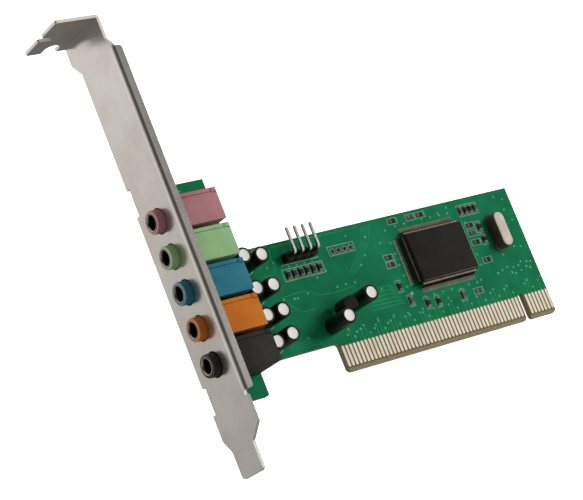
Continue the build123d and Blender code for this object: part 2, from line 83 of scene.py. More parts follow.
CAP_PLACES = [
    (-87.24, 11.0), (-87.24, 18.1), (-87.24, 25.4), (-87.24, 34.2),
    (-82.14, 12.0), (-82.14, 18.4), (-82.14, 25.2), (-82.14, 33.4),
    (-63.7, 12.6), (-54.4, 16.9),
]
CAP_LEG_ASIDE = 1.1

HEADER_X = -65.5
HEADER_Y = 32.75
HEADER_PITCH = 2.54
HEADER_H = 2.5
HEADER_XS = [HEADER_X + (i - 1.5) * HEADER_PITCH for i in range(4)]
PIN_W = 0.64
PIN_BEND = 0.75
PIN_LEVEL = 5.0
PIN_REACH = 6.9

CHIP_X = -22.0
CHIP_Y = 24.1
CHIP_L = 20.0
CHIP_W = 14.0
CHIP_T = 2.7
CHIP_STANDOFF = 0.3
LEAD_PITCH = 0.5
LEAD_W = 0.22
LEAD_T = 0.15
# Turn, reach and lead count of the chip's four sides
CHIP_SIDES = (
    (0, CHIP_L / 2, 26), (90, CHIP_W / 2, 38), (180, CHIP_L / 2, 26), (270, CHIP_W / 2, 38),
)

CRYSTAL_X = 0.75
CRYSTAL_Y = 25.7
CRYSTAL_HALF_SPAN = 3.2
CRYSTAL_R = 1.825
CRYSTAL_H = 3.2
FLANGE_R = 2.325
FLANGE_H = 0.4
REGULATOR_X = -60.6
REGULATOR_Y = 15.7
REGULATOR_PITCH = 1.27
REGULATOR_XS = [REGULATOR_X + i * REGULATOR_PITCH for i in (-1, 0, 1)]
REGULATOR_LEG_H = 2.5
REGULATOR_R = 2.2
REGULATOR_FLAT = -1.0
REGULATOR_H = 4.8

ROW_PARTS = [(-70.5 + 2.04 * i, 28.5) for i in range(6)]
UPRIGHT_PARTS = [
    (-8.4, 34.1), (-6.6, 34.1), (-4.8, 34.1), (-3.0, 34.1), (-4.2, 28.6), (-4.2, 24.9),
    (-18.8, 11.4), (-27.6, 11.6), (-31.2, 11.9), (-36.2, 13.7), (-38.1, 18.2),
]
LEVEL_PARTS = [
    (-32.0, 35.9), (-25.7, 35.8), (-22.3, 35.8), (-7.2, 29.6), (-7.2, 27.3), (-7.2, 24.6),
    (-5.9, 19.1), (-13.1, 11.5), (-37.8, 26.4), (-37.8, 24.4),
]
SPARE_HOLES = [(-54.4 + 2.0 * i, 31.7) for i in range(4)]
SCREW_PLACES = [(-98.94, 3.0), (-98.94, 55.3)]
INK_H = 0.02
INK_TOP = FRONT + INK_H
COPPER_H = 0.02


# Shaping

def block(low, high, ease=0.0, steps=2):
    """A block between two corners, with its edges eased."""
    shape = bmesh.new()
    bmesh.ops.create_cube(shape, size=1)
    bmesh.ops.scale(shape, vec=[b - a for a, b in zip(low, high)], verts=shape.verts)
    bmesh.ops.translate(shape, vec=[(a + b) / 2 for a, b in zip(low, high)], verts=shape.verts)
    if ease:
        ease_edges(shape, shape.edges[:], ease, steps)
    return shape


def corners_in(made):
    """The corners among what an operator made."""
    return [part for part in made if isinstance(part, bmesh.types.BMVert)]


def whole(shape):
    """All of a shape, for an operator."""
    return shape.verts[:] + shape.edges[:] + shape.faces[:]


def draw_out(shape, faces, step):
    """Draws faces out by a step and gives back what that made."""
    grown = bmesh.ops.extrude_face_region(shape, geom=faces)["geom"]
    bmesh.ops.translate(shape, vec=step, verts=corners_in(grown))
    return grown


def face_out(shape):
    """Turns every face of a shape outwards."""
    bmesh.ops.recalc_face_normals(shape, faces=shape.faces)


def ease_edges(shape, edges, ease, steps=2):
    """Rounds the given edges."""
    bmesh.ops.bevel(
        shape, geom=edges, offset=ease, offset_type="OFFSET", segments=steps, profile=0.5, affect="EDGES",
        material=-1, clamp_overlap=True,
    )


def turned(profile, steps=40, closed=False):
    """Turns a profile of (radius, height) points about the upright axis."""
    shape = bmesh.new()
    points = [shape.verts.new((r, 0, h)) for r, h in profile]
    edges = [shape.edges.new(pair) for pair in zip(points, points[1:])]
    if closed:
        edges.append(shape.edges.new((points[-1], points[0])))
    bmesh.ops.spin(
        shape, geom=points + edges, cent=(0, 0, 0), axis=(0, 0, 1), angle=2 * math.pi, steps=steps,
        use_merge=True,
    )
    bmesh.ops.remove_doubles(shape, verts=shape.verts, dist=1e-4)
    face_out(shape)
    return shape


def bent_bar(width, thickness, moves):
    """A flat bar drawn upwards from the origin through straight runs and round bends towards +Y."""
    shape = bmesh.new()
    bmesh.ops.create_grid(shape, x_segments=1, y_segments=1, size=0.5)
    bmesh.ops.scale(shape, vec=(width, thickness, 1), verts=shape.verts)
    shape.faces.ensure_lookup_table()
    end = shape.faces[0]
    place = Vector((0, 0, 0))
    heading = 0.0
    started = False
    for move in moves:
        bend, radius, steps = move if len(move) == 3 else (0, move[0], 1)
        for _ in range(steps):
            grown = bmesh.ops.extrude_face_region(shape, geom=[end])["geom"]
            if started:
                bmesh.ops.delete(shape, geom=[end], context="FACES_ONLY")
            started = True
            corners = corners_in(grown)
            end = next(g for g in grown if isinstance(g, bmesh.types.BMFace))
            if bend:
                turn = math.radians(bend) / steps
                side = Vector((0, math.cos(heading), -math.sin(heading))) * math.copysign(radius, bend)
                swing = Matrix.Rotation(-turn, 3, "X")
                bmesh.ops.rotate(shape, cent=place + side, matrix=swing, verts=corners)
                place = place + side - swing @ side
                heading += turn
            else:
                step = Vector((0, math.sin(heading), math.cos(heading))) * radius
                bmesh.ops.translate(shape, vec=step, verts=corners)
                place = place + step
    face_out(shape)
    return shape, end


def stadium(half_span, radius, height, ease, steps=3):
    """A long round-ended can, standing on the origin with its length along Y and its top edge rounded."""
    shape = bmesh.new()
    bmesh.ops.create_circle(shape, cap_ends=True, radius=radius, segments=40)
    half_flat = Matrix.Rotation(math.radians(4.5), 3, "Z")
    bmesh.ops.rotate(shape, cent=(0, 0, 0), matrix=half_flat, verts=shape.verts)
    ends = [[v for v in shape.verts if v.co.y * side > 0] for side in (-1, 1)]
    for side, end in zip((-1, 1), ends):
        bmesh.ops.translate(shape, vec=(0, side * half_span, 0), verts=end)
    raise_face(shape, height, ease, steps)
    return shape


def raise_face(shape, height, ease, steps=2):
    """Raises a flat face into a solid and rounds its top edge."""
    grown = draw_out(shape, shape.faces[:], (0, 0, height))
    rim = [g for g in grown if isinstance(g, bmesh.types.BMEdge)]
    face_out(shape)
    ease_edges(shape, rim, ease, steps)
    bmesh.ops.remove_doubles(shape, verts=shape.verts, dist=1e-4)


def open_face(shape, face, centre, radius, turn, steps=32):
    """Opens a round hole in a flat face and gives back the hole's edges."""
    border = face.edges[:]
    bmesh.ops.delete(shape, geom=[face], context="FACES_ONLY")
    ring = bmesh.ops.create_circle(
        shape, cap_ends=False, radius=radius, segments=steps, matrix=Matrix.Translation(centre) @ turn,
    )["verts"]
    mouth = list({e for v in ring for e in v.link_edges})
    bmesh.ops.bridge_loops(shape, edges=border + mouth)
    return mouth


def sink(shape, mouth, step, shrink, centre):
    """Carries a ring of edges one step further and draws it in towards a centre."""
    grown = bmesh.ops.extrude_edge_only(shape, edges=mouth)["geom"]
    verts = corners_in(grown)
    bmesh.ops.translate(shape, vec=step, verts=verts)
    around = Matrix.Translation(-(Vector(centre) + Vector(step)))
    bmesh.ops.scale(shape, vec=(shrink, shrink, shrink), space=around, verts=verts)
    ring = set(verts)
    return [g for g in grown if isinstance(g, bmesh.types.BMEdge) and set(g.verts) <= ring]


def put(piece, form, at=(0, 0, 0), turn=None, finish=None):
    """Copies a form into a piece at its place, in one of the piece's finishes."""
    copy = form.copy()
    matrix = Matrix.Translation(at) @ (turn or Matrix.Identity(4))
    bmesh.ops.transform(copy, matrix=matrix, verts=copy.verts)
    if finish is not None:
        for face in copy.faces:
            face.material_index = finish
    held = bpy.data.meshes.new("held")
    copy.to_mesh(held)
    copy.free()
    piece.from_mesh(held)
    bpy.data.meshes.remove(held)


def turned_by(degrees, axis="Z"):
    """A turn about an axis of the card."""
    return Matrix.Rotation(math.radians(degrees), 4, axis)


TOWARDS_BRACKET = turned_by(-90, "Y")
UPSIDE_DOWN = turned_by(180, "X")


def settle(name, shape, finishes, stands_for=(), crease=35):
    """Finishes a shape as a piece of the card: scaled to metres, shaded, and riding on it."""
    bmesh.ops.scale(shape, vec=(MM, MM, MM), verts=shape.verts)
    face_out(shape)
    mesh = bpy.data.meshes.new(name)
    shape.to_mesh(mesh)
    shape.free()
    for finish in finishes:
        mesh.materials.append(finish)
    mesh.shade_smooth()
    mesh.set_sharp_from_angle(angle=math.radians(crease))
    piece = bpy.data.objects.new(name, mesh)
    bpy.context.scene.collection.objects.link(piece)
    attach(piece, "root")
    if stands_for:
        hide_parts(*stands_for)
    return piece


# Finishes

def srgb(red, green, blue):
    """A colour given as it is seen on a screen, from 0 to 255."""
    linear = []
    for value in (red, green, blue):
        v = value / 255
        linear.append(v / 12.92 if v <= 0.04045 else ((v + 0.055) / 1.055) ** 2.4)
    return (*linear, 1.0)


def plug(tree, value, socket):
    """Links a value into a socket, or sets it there."""
    if isinstance(value, bpy.types.NodeSocket):
        tree.links.new(value, socket)
    else:
        socket.default_value = value


def add(tree, kind, **settings):
    """Adds a node and sets its inputs and properties by name."""
    node = tree.nodes.new("ShaderNode" + kind)
    for name, value in settings.items():
        label = name.replace("_", " ")
        if label in node.inputs:
            plug(tree, value, node.inputs[label])
        else:
            setattr(node, name, value)
    return node


def mix(tree, factor, first, second, kind="MIX"):
    """Mixes two colours."""
    node = tree.nodes.new("ShaderNodeMix")
    node.data_type = "RGBA"
    node.blend_type = kind
    for place, value in ((0, factor), (6, first), (7, second)):
        plug(tree, value, node.inputs[place])
    return node.outputs[2]


def span(tree, value, low, high, to_low=0.0, to_high=1.0):
    """Maps a value from one range to another, held at its ends."""
    node = add(tree, "MapRange")
    for place, given in enumerate((value, low, high, to_low, to_high)):
        plug(tree, given, node.inputs[place])
    return node.outputs[0]


def sums(tree, operation, first, second):
    """Works out one operation on two values."""
    node = add(tree, "Math", operation=operation)
    for place, value in enumerate((first, second)):
        plug(tree, value, node.inputs[place])
    return node.outputs[0]


def split(tree, vector):
    """The three parts of a vector."""
    return add(tree, "SeparateXYZ", Vector=vector).outputs


def effect(name, inputs, outputs):
    """Starts a shared effect with named inputs and outputs."""
    tree = bpy.data.node_groups.new(name, "ShaderNodeTree")
    for label, kind, value in inputs:
        socket = tree.interface.new_socket(label, in_out="INPUT", socket_type=kind)
        if value is not None:
            socket.default_value = value
    for label in outputs:
        tree.interface.new_socket(label, in_out="OUTPUT", socket_type="NodeSocketFloat")
    start = tree.nodes.new("NodeGroupInput")
    end = tree.nodes.new("NodeGroupOutput")
    return tree, start.outputs, end.inputs


def make_handling():
    """Cloudy tone, fine grain and a few rubbed specks, as on any handled surface."""
    tree, given, wanted = effect(
        "handled_surface",
        [("Vector", "NodeSocketVector", None), ("Cloud", "NodeSocketFloat", 0.15),
         ("Grain", "NodeSocketFloat", 6.0)],
        ["Tone", "Grain", "Specks"],
    )
    cloud = add(tree, "TexNoise", Vector=given["Vector"], Scale=given["Cloud"], Detail=3.0, Roughness=0.55)
    grain = add(tree, "TexNoise", Vector=given["Vector"], Scale=given["Grain"], Detail=2.0, Roughness=0.6)
    speck = add(tree, "TexNoise", Vector=given["Vector"], Scale=1.7, Detail=5.0, Roughness=0.7)
    tree.links.new(cloud.outputs[0], wanted["Tone"])
    tree.links.new(grain.outputs[0], wanted["Grain"])
    tree.links.new(span(tree, speck.outputs[0], 0.62, 0.72), wanted["Specks"])
    return tree


def make_drawn_lines():
    """Fine parallel lines that follow the way a metal was rolled, drawn or rubbed."""
    tree, given, wanted = effect(
        "drawn_lines",
        [("Vector", "NodeSocketVector", None), ("Along", "NodeSocketVector", (1.0, 1.0, 1.0))],
        ["Lines", "Scratches"],
    )
    stretch = add(tree, "VectorMath", operation="MULTIPLY")
    tree.links.new(given["Vector"], stretch.inputs[0])
    tree.links.new(given["Along"], stretch.inputs[1])
    fine = add(tree, "TexNoise", Vector=stretch.outputs[0], Scale=5.0, Detail=3.0, Roughness=0.65)
    coarse = add(tree, "TexNoise", Vector=stretch.outputs[0], Scale=1.3, Detail=1.0)
    ridge = sums(tree, "ABSOLUTE", sums(tree, "SUBTRACT", coarse.outputs[0], 0.5), 0.0)
    tree.links.new(fine.outputs[0], wanted["Lines"])
    tree.links.new(span(tree, ridge, 0.012, 0.0), wanted["Scratches"])
    return tree


HANDLING = make_handling()
DRAWN_LINES = make_drawn_lines()
RELIEF = 0.00003
FINE_RELIEF = 0.00002


def start_finish(name):
    """A new finish with its shader, and the card's millimetres to pattern it with."""
    finish = bpy.data.materials.new(name)
    finish.use_nodes = True
    tree = finish.node_tree
    tree.nodes.clear()
    output = tree.nodes.new("ShaderNodeOutputMaterial")
    skin = tree.nodes.new("ShaderNodeBsdfPrincipled")
    tree.links.new(skin.outputs["BSDF"], output.inputs["Surface"])
    place = tree.nodes.new("ShaderNodeTexCoord")
    ruler = add(tree, "Mapping", Scale=(1000.0, 1000.0, 1000.0))
    tree.links.new(place.outputs["Object"], ruler.inputs["Vector"])
    return finish, tree, skin, place, ruler.outputs[0]


def use_effect(tree, group, ruler, **settings):
    """Lays a shared effect over a finish."""
    node = tree.nodes.new("ShaderNodeGroup")
    node.node_tree = group
    tree.links.new(ruler, node.inputs["Vector"])
    for label, value in settings.items():
        node.inputs[label].default_value = value
    return node.outputs


def feed(tree, skin, colour, roughness, height, strength, distance, **settings):
    """Joins a pattern's colour, roughness and relief to the shader, and its other settings by name."""
    relief = add(tree, "Bump", Strength=strength, Distance=distance, Height=height).outputs[0]
    settings.update(Base_Color=colour, Roughness=roughness, Normal=relief)
    for name, value in settings.items():
        plug(tree, value, skin.inputs[name.replace("_", " ")])


def moulded_plastic(name, colour, shade, light, rough, relief=0.12, coat=0.0):
    """Moulded plastic: a clouded colour, a fine skin and pale rubbed specks."""
    finish, tree, skin, _, ruler = start_finish(name)
    look = use_effect(tree, HANDLING, ruler, Cloud=0.22, Grain=7.0)
    base = mix(tree, span(tree, look["Tone"], 0.35, 0.65), srgb(*shade), srgb(*colour))
    base = mix(tree, sums(tree, "MULTIPLY", look["Specks"], 0.35), base, srgb(*light))
    roughness = span(tree, look["Grain"], 0.3, 0.7, *rough)
    feed(
        tree, skin, base, roughness, look["Grain"], relief, RELIEF, Specular_IOR_Level=0.2, Coat_Weight=coat,
    )
    return finish


def plated_metal(name, colour, shade, rough, along, lines=0.35, metal=1.0):
    """Plated metal: drawn lines, a clouded tone and fine scratches."""
    finish, tree, skin, _, ruler = start_finish(name)
    look = use_effect(tree, HANDLING, ruler, Cloud=0.3, Grain=5.0)
    drawn = use_effect(tree, DRAWN_LINES, ruler, Along=along)
    base = mix(tree, span(tree, look["Tone"], 0.3, 0.7), srgb(*shade), srgb(*colour))
    base = mix(tree, sums(tree, "MULTIPLY", drawn["Scratches"], 0.3), base, srgb(*shade))
    uneven = sums(tree, "ADD", drawn["Lines"], sums(tree, "MULTIPLY", look["Grain"], 0.5))
    roughness = span(tree, uneven, 0.4, 1.1, *rough)
    feed(tree, skin, base, roughness, drawn["Lines"], lines, FINE_RELIEF, Metallic=metal)
    return finish


def make_board_finish():
    """Green solder mask on the faces, bare laminate at the edges and round the contacts."""
    finish, tree, skin, place, ruler = start_finish("board_solder_mask")
    look = use_effect(tree, HANDLING, ruler, Cloud=0.11, Grain=2.2)
    threads = [
        add(tree, "TexWave", bands_direction=way, Vector=ruler, Scale=0.62, Distortion=0.3).outputs[1]
        for way in ("X", "Y")
    ]
    weave = sums(tree, "MULTIPLY", *threads)
    mask = mix(tree, span(tree, look["Tone"], 0.34, 0.66), srgb(14, 100, 64), srgb(20, 117, 77))
    mask = mix(tree, sums(tree, "MULTIPLY", weave, 0.08), mask, srgb(50, 140, 98))
    mask = mix(tree, sums(tree, "MULTIPLY", look["Specks"], 0.14), mask, srgb(70, 150, 110))
    fibres = span(tree, look["Grain"], 0.35, 0.65)
    laminate = mix(tree, fibres, srgb(96, 80, 54), srgb(114, 97, 68))
    cut_laminate = mix(tree, fibres, srgb(122, 114, 88), srgb(144, 136, 108))
    spot = split(tree, ruler)
    bare = span(tree, spot["Y"], 6.9, 6.3)
    tongue = span(tree, spot["X"], -64.0, -63.8)
    facing = split(tree, place.outputs["Normal"])
    edge = span(tree, sums(tree, "ABSOLUTE", facing["Z"], 0.0), 0.995, 0.98)
    unmasked = sums(tree, "MULTIPLY", bare, tongue)
    cut = sums(tree, "MAXIMUM", edge, unmasked)
    base = mix(tree, edge, mix(tree, unmasked, mask, laminate), cut_laminate)
    rough_mask = span(tree, look["Grain"], 0.3, 0.7, 0.3, 0.42)
    roughness = sums(tree, "ADD", rough_mask, sums(tree, "MULTIPLY", cut, 0.3))
    height = sums(tree, "ADD", sums(tree, "MULTIPLY", weave, 0.4), look["Grain"])
    feed(tree, skin, base, roughness, height, 0.1, RELIEF, Specular_IOR_Level=0.08)
    return finish


def make_bracket_finish():
    """Satin zinc plate on rolled sheet: long faint lines, soft clouding and hairline scratches, with a
    painted highlight on its cut edges.
    """
    finish, tree, skin, place, ruler = start_finish("bracket_zinc")
    look = use_effect(tree, HANDLING, ruler, Cloud=0.09, Grain=3.0)
    rolled = use_effect(tree, DRAWN_LINES, ruler, Along=(0.35, 0.012, 0.35))
    base = mix(tree, span(tree, look["Tone"], 0.35, 0.65), srgb(204, 198, 191), srgb(214, 210, 204))
    base = mix(tree, sums(tree, "MULTIPLY", rolled["Scratches"], 0.12), base, srgb(180, 173, 165))
    base = mix(tree, sums(tree, "MULTIPLY", look["Specks"], 0.10), base, srgb(184, 177, 168))
    facing = split(tree, place.outputs["Normal"])
    spot = split(tree, ruler)
    before_bend = span(tree, spot["X"], -104.1, -104.3)
    below_flange = span(tree, spot["Z"], 14.7, 14.5)
    sheet = sums(tree, "MULTIPLY", before_bend, below_flange)
    # Upward-facing sheet edges below the flange: bare cut steel, painted near-white and less metallic as a
    # painted highlight along the edge
    sheared_edge_highlight = sums(tree, "MULTIPLY", span(tree, facing["Z"], 0.75, 0.9), sheet)
    base = mix(tree, sheared_edge_highlight, base, srgb(236, 232, 224))
    uneven = sums(tree, "ADD", rolled["Lines"], sums(tree, "MULTIPLY", look["Tone"], 0.6))
    roughness = span(tree, uneven, 0.5, 1.1, 0.2, 0.28)
    metal = span(tree, sheared_edge_highlight, 0.0, 1.0, 0.88, 0.25)
    feed(tree, skin, base, roughness, rolled["Lines"], 0.03, RELIEF, Metallic=metal)
    return finish


def make_contact_finish():
    """Thin gold over nickel, rubbed along the way the card slides in and dull at the sides and ends."""
    finish, tree, skin, _, ruler = start_finish("contact_gold")
    look = use_effect(tree, HANDLING, ruler, Cloud=0.25, Grain=6.0)
    rubbed = use_effect(tree, DRAWN_LINES, ruler, Along=(4.0, 0.12, 1.0))
    base = mix(tree, span(tree, look["Tone"], 0.35, 0.65), srgb(238, 226, 202), srgb(248, 240, 222))
    base = mix(tree, sums(tree, "MULTIPLY", rubbed["Scratches"], 0.45), base, srgb(222, 212, 196))
    spot = split(tree, ruler)
    step = sums(tree, "FRACT", sums(tree, "DIVIDE", spot["X"], CONTACT_PITCH), 0.0)
    aside = sums(tree, "ABSOLUTE", sums(tree, "SUBTRACT", step, 0.5), 0.0)
    upper = span(tree, spot["Y"], CONTACT_TOP - 0.5, CONTACT_TOP)
    lower = span(tree, spot["Y"], CONTACT_LOW + 0.5, CONTACT_LOW)
    end = sums(tree, "POWER", sums(tree, "MAXIMUM", upper, lower), 3.0)
    aside = sums(tree, "ADD", aside, sums(tree, "MULTIPLY", end, 0.25))
    base = mix(tree, span(tree, aside, 0.27, 0.36), base, srgb(142, 124, 92))
    roughness = span(tree, rubbed["Lines"], 0.3, 0.7, 0.24, 0.42)
    feed(tree, skin, base, roughness, rubbed["Lines"], 0.12, FINE_RELIEF, Metallic=0.45)
    return finish


# Fineness of a metal's lines along each axis: the lower, the longer they are drawn
EVEN = (1.0, 1.0, 1.0)
ALONG_BORE = (0.3, 2.0, 2.0)
ALONG_PIN = (2.0, 0.3, 0.3)
ALONG_CAN = (2.0, 0.2, 2.0)
UP_CAN = (2.0, 2.0, 0.2)

BOARD_MASK = make_board_finish()
ZINC = make_bracket_finish()
GOLD = make_contact_finish()
NICKEL = plated_metal("jack_nickel", (168, 158, 148), (128, 120, 110), (0.2, 0.36), ALONG_BORE)
# Dark copy of the sleeve nickel for deep in the bore and the spring slot: painted shade
BORE_PAINTED_SHADE = plated_metal("bore_painted_shade_nickel", (92, 82, 72), (58, 50, 44), (0.42, 0.6), ALONG_BORE)
BRONZE = plated_metal("spring_bronze", (205, 176, 126), (160, 130, 86), (0.22, 0.4), ALONG_BORE)
TIN = plated_metal(
    "pin_tin", (238, 235, 230), (216, 212, 206), (0.24, 0.36), ALONG_PIN, lines=0.08, metal=0.7,
)
# Darker copy of the pin tin for upright legs and side faces: painted shade and painted dark reflection
PIN_PAINTED_SHADE = plated_metal("pin_painted_shade_tin", (100, 94, 86), (78, 72, 66), (0.3, 0.42), ALONG_PIN, lines=0.08)
LEAD_TIN = plated_metal(
    "lead_tin", (214, 198, 180), (180, 162, 146), (0.28, 0.42), EVEN, lines=0.1, metal=0.5,
)
# Dim copy of the lead tin for the lead feet and for the lands on two sides: painted shade
LEAD_PAINTED_SHADE = plated_metal(
    "lead_painted_shade_tin", (157, 145, 131), (131, 118, 106), (0.32, 0.46), EVEN, lines=0.1, metal=0.5,
)
# Bright tin for the lands on the chip's left and right sides: painted glint of the solder
LAND_GLINT_TIN = plated_metal(
    "land_glint_tin", (212, 214, 202), (178, 182, 170), (0.3, 0.44), EVEN, lines=0.1, metal=0.3,
)
# Dark copy of the lead tin for the slopes of the leads: painted shade
LEAD_SLOPE_PAINTED_SHADE = plated_metal("lead_slope_painted_shade_tin", (86, 76, 66), (60, 52, 44), (0.4, 0.55), EVEN, lines=0.1)
CAN_METAL = plated_metal(
    "crystal_can_metal", (226, 213, 203), (206, 193, 183), (0.3, 0.44), ALONG_CAN, lines=0.15, metal=0.45,
)
# Dark brown copy of the can metal for the crystal's sides: painted shade and painted dark reflection
CAN_WALL_PAINTED_SHADE = plated_metal(
    "crystal_wall_painted_shade_metal", (92, 74, 55), (72, 57, 42), (0.36, 0.5), UP_CAN, lines=0.1, metal=0.35,
)
# Crystal flange: tinned metal, dimmed and tinted green as a painted reflection of the board
CAN_FLANGE_REFLECTION = plated_metal(
    "crystal_flange_reflection_metal", (112, 120, 106), (86, 92, 80), (0.32, 0.46), EVEN, lines=0.1,
)
PART_END = plated_metal(
    "part_end_solder", (150, 158, 148), (112, 122, 112), (0.46, 0.6), EVEN, lines=0.1, metal=0.5,
)
SCREW_ZINC = plated_metal("screw_zinc", (204, 200, 192), (150, 146, 138), (0.22, 0.4), EVEN)
SOLDER = plated_metal("solder_bright", (186, 186, 182), (136, 136, 132), (0.26, 0.46), EVEN)
CAN_TOP = plated_metal(
    "capacitor_top", (246, 245, 243), (232, 230, 226), (0.32, 0.46), EVEN, lines=0.1, metal=0.2,
)
SLEEVE = moulded_plastic(
    "capacitor_sleeve", (24, 24, 24), (15, 15, 15), (60, 58, 56), (0.2, 0.34), relief=0.06, coat=0.2,
)
HEADER_PLASTIC = moulded_plastic("header_plastic", (36, 34, 33), (22, 21, 20), (80, 78, 75), (0.42, 0.6))
CHIP_PLASTIC = moulded_plastic(
    "chip_plastic", (35, 33, 31), (28, 26, 25), (70, 66, 62), (0.5, 0.66), relief=0.35,
)
# Paler copy of the chip plastic for its upper bevels: painted highlight
CHIP_EDGE_HIGHLIGHT = moulded_plastic(
    "chip_edge_highlight_plastic", (112, 106, 96), (92, 86, 78), (140, 132, 122), (0.45, 0.6), relief=0.2,
)
# Near-white copy of the chip plastic for its right-facing bevels: painted glint
CHIP_EDGE_GLINT = moulded_plastic(
    "chip_edge_glint_plastic", (196, 196, 184), (178, 178, 166), (206, 204, 194), (0.45, 0.6), relief=0.2,
)
REGULATOR_PLASTIC = moulded_plastic(
    "regulator_plastic", (30, 29, 28), (22, 21, 20), (64, 60, 58), (0.45, 0.6), relief=0.3,
)
RESISTOR_BLACK = moulded_plastic("resistor_black", (46, 42, 40), (34, 31, 29), (90, 86, 80), (0.3, 0.45))
CAPACITOR_TAN = moulded_plastic("ceramic_tan", (84, 80, 70), (68, 65, 57), (110, 104, 94), (0.4, 0.55))
SILK = moulded_plastic("silk_ink", (140, 184, 160), (112, 164, 138), (180, 206, 190), (0.55, 0.7))
VIA_MASK = moulded_plastic("via_mask", (96, 178, 134), (70, 156, 110), (150, 204, 172), (0.3, 0.42))
TRACE_MASK = moulded_plastic("trace_mask", (22, 136, 88), (16, 124, 78), (80, 168, 124), (0.3, 0.42))

# Colour, shade and rubbed tone of each jack, and of the rim of its bushing; the rim tones are paler copies
# of the jack's colour, a painted highlight on the bushing's front
JACK_TINTS = {
    "black": ((48, 45, 45), (40, 37, 37), (84, 82, 80)),
    "orange": ((194, 111, 34), (184, 102, 27), (214, 150, 80)),
    "blue": ((47, 116, 134), (40, 107, 125), (100, 158, 174)),
    "green": ((146, 184, 132), (136, 174, 122), (180, 206, 168)),
    "pink": ((171, 120, 125), (161, 111, 116), (204, 164, 168)),
}
RIM_HIGHLIGHT_TINTS = {
    "black": ((84, 80, 77), (72, 69, 66), (110, 106, 102)),
    "orange": ((226, 158, 98), (212, 142, 80), (236, 184, 132)),
    "blue": ((122, 166, 178), (104, 152, 166), (150, 188, 198)),
    "green": ((190, 210, 168), (178, 200, 156), (206, 222, 190)),
    "pink": ((206, 166, 166), (194, 152, 154), (220, 190, 190)),
}


def make_jack_finishes(part, tints):
    """A moulded finish for each colour of jack."""
    finishes = {}
    for colour, tones in tints.items():
        finishes[colour] = moulded_plastic(f"{part}_{colour}", *tones, (0.44, 0.58))
    return finishes


JACK_FINISHES = make_jack_finishes("jack", JACK_TINTS)
JACK_RIM_HIGHLIGHTS = make_jack_finishes("rim", RIM_HIGHLIGHT_TINTS)


def dress(node, finish):
    """Gives a solid of the card its finish."""
    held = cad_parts[node]
    if not held.material_slots:
        held.data.materials.append(finish)
    for place in held.material_slots:
        place.material = finish


# Audio jacks

# Radius and height along the bore, from the face of the bracket
BUSHING_OUTLINE = [
    (2.46, -1.2), (2.46, 1.9), (2.34, 1.95), (2.34, 2.36), (2.37, 2.4), (2.62, 2.4), (2.74, 2.38),
    (2.86, 2.32), (2.95, 2.21), (2.99, 2.09), (3.0, 1.96), (3.0, -1.2),
]
SLEEVE_OUTLINE = [
    (2.45, -3.6), (2.45, 1.88), (2.33, 1.93), (2.33, 2.36), (2.3, 2.44), (2.22, 2.47), (2.08, 2.45),
    (1.98, 2.38), (1.88, 2.2), (1.82, 2.0), (1.8, 1.9), (1.8, 1.35), (1.8, -3.6),
]


def make_jack(colour, y):
    """A moulded body with its lid seam, the bushing through the bracket and the nickel sleeve in it."""
    seam = y + JACK_HALF - LID_WIDTH
    side = y + JACK_HALF
    body = block((JACK_START, y - JACK_HALF, FRONT), (JACK_END, seam - SEAM_GAP, JACK_TOP), JACK_EASE)
    front = max((f for f in body.faces if f.normal.x < -0.99), key=lambda f: f.calc_area())
    centre = Vector((JACK_START, y, JACK_AXIS))
    mouth = open_face(body, front, centre, BORE_R, turned_by(90, "Y"))
    mouth = sink(body, mouth, (BORE_DEPTH, 0, 0), 1.0, centre)
    bmesh.ops.edgeloop_fill(body, edges=mouth)
    piece = bmesh.new()
    put(piece, body)
    clip = JACK_END - CLIP_LENGTH
    for low, high in (
        ((JACK_START, seam, FRONT), (clip - SEAM_GAP, side, JACK_TOP)),
        ((clip, seam - 0.5, FRONT), (JACK_END, side, JACK_TOP)),
        ((JACK_START + 0.05, seam - 0.5, FRONT), (JACK_END - 0.3, side - 0.05, JACK_TOP - 0.35)),
    ):
        put(piece, block(low, high, JACK_EASE))
    bushing = turned(BUSHING_OUTLINE, 48, True)
    face_out(bushing)
    for face in bushing.faces:
        # Faces of the bushing's front take the paler rim tone as a painted highlight
        face.material_index = 1 if face.normal.z > 0.6 and face.calc_center_median().z > 2.0 else 0
    at = (PLATE_FACE, y, JACK_AXIS)
    put(piece, bushing, at, TOWARDS_BRACKET)
    finishes = [JACK_FINISHES[colour], JACK_RIM_HIGHLIGHTS[colour]]
    settle(colour + "_jack_body", piece, finishes, [colour + "_jack_housing"])

    sleeve = turned(SLEEVE_OUTLINE, 48, True)
    metal = bmesh.new()
    for face in sleeve.faces:
        middle = face.calc_center_median()
        inside = math.hypot(middle.x, middle.y) < 1.9
        # Faces inside the bore past the front lip, and a narrow strip where a spring slot would open, take
        # the dark bore finish: painted shade and a painted dark slot; no slot is cut
        painted_slot = middle.x < 0 and abs(middle.y) < 0.6 and middle.z < 1.95
        face.material_index = 1 if inside and (painted_slot or middle.z < 1.3) else 0
    put(metal, sleeve, at, TOWARDS_BRACKET)
    leg_low = (SLEEVE_LEG_X - 0.2, y - 0.6, FRONT)
    put(metal, block(leg_low, (SLEEVE_LEG_X + 0.2, y + 0.6, JACK_AXIS - 1.9), 0.08))
    finishes = [NICKEL, BORE_PAINTED_SHADE]
    settle(colour + "_jack_nickel_sleeve", metal, finishes, [colour + "_jack_sleeve"])


# Components on the board

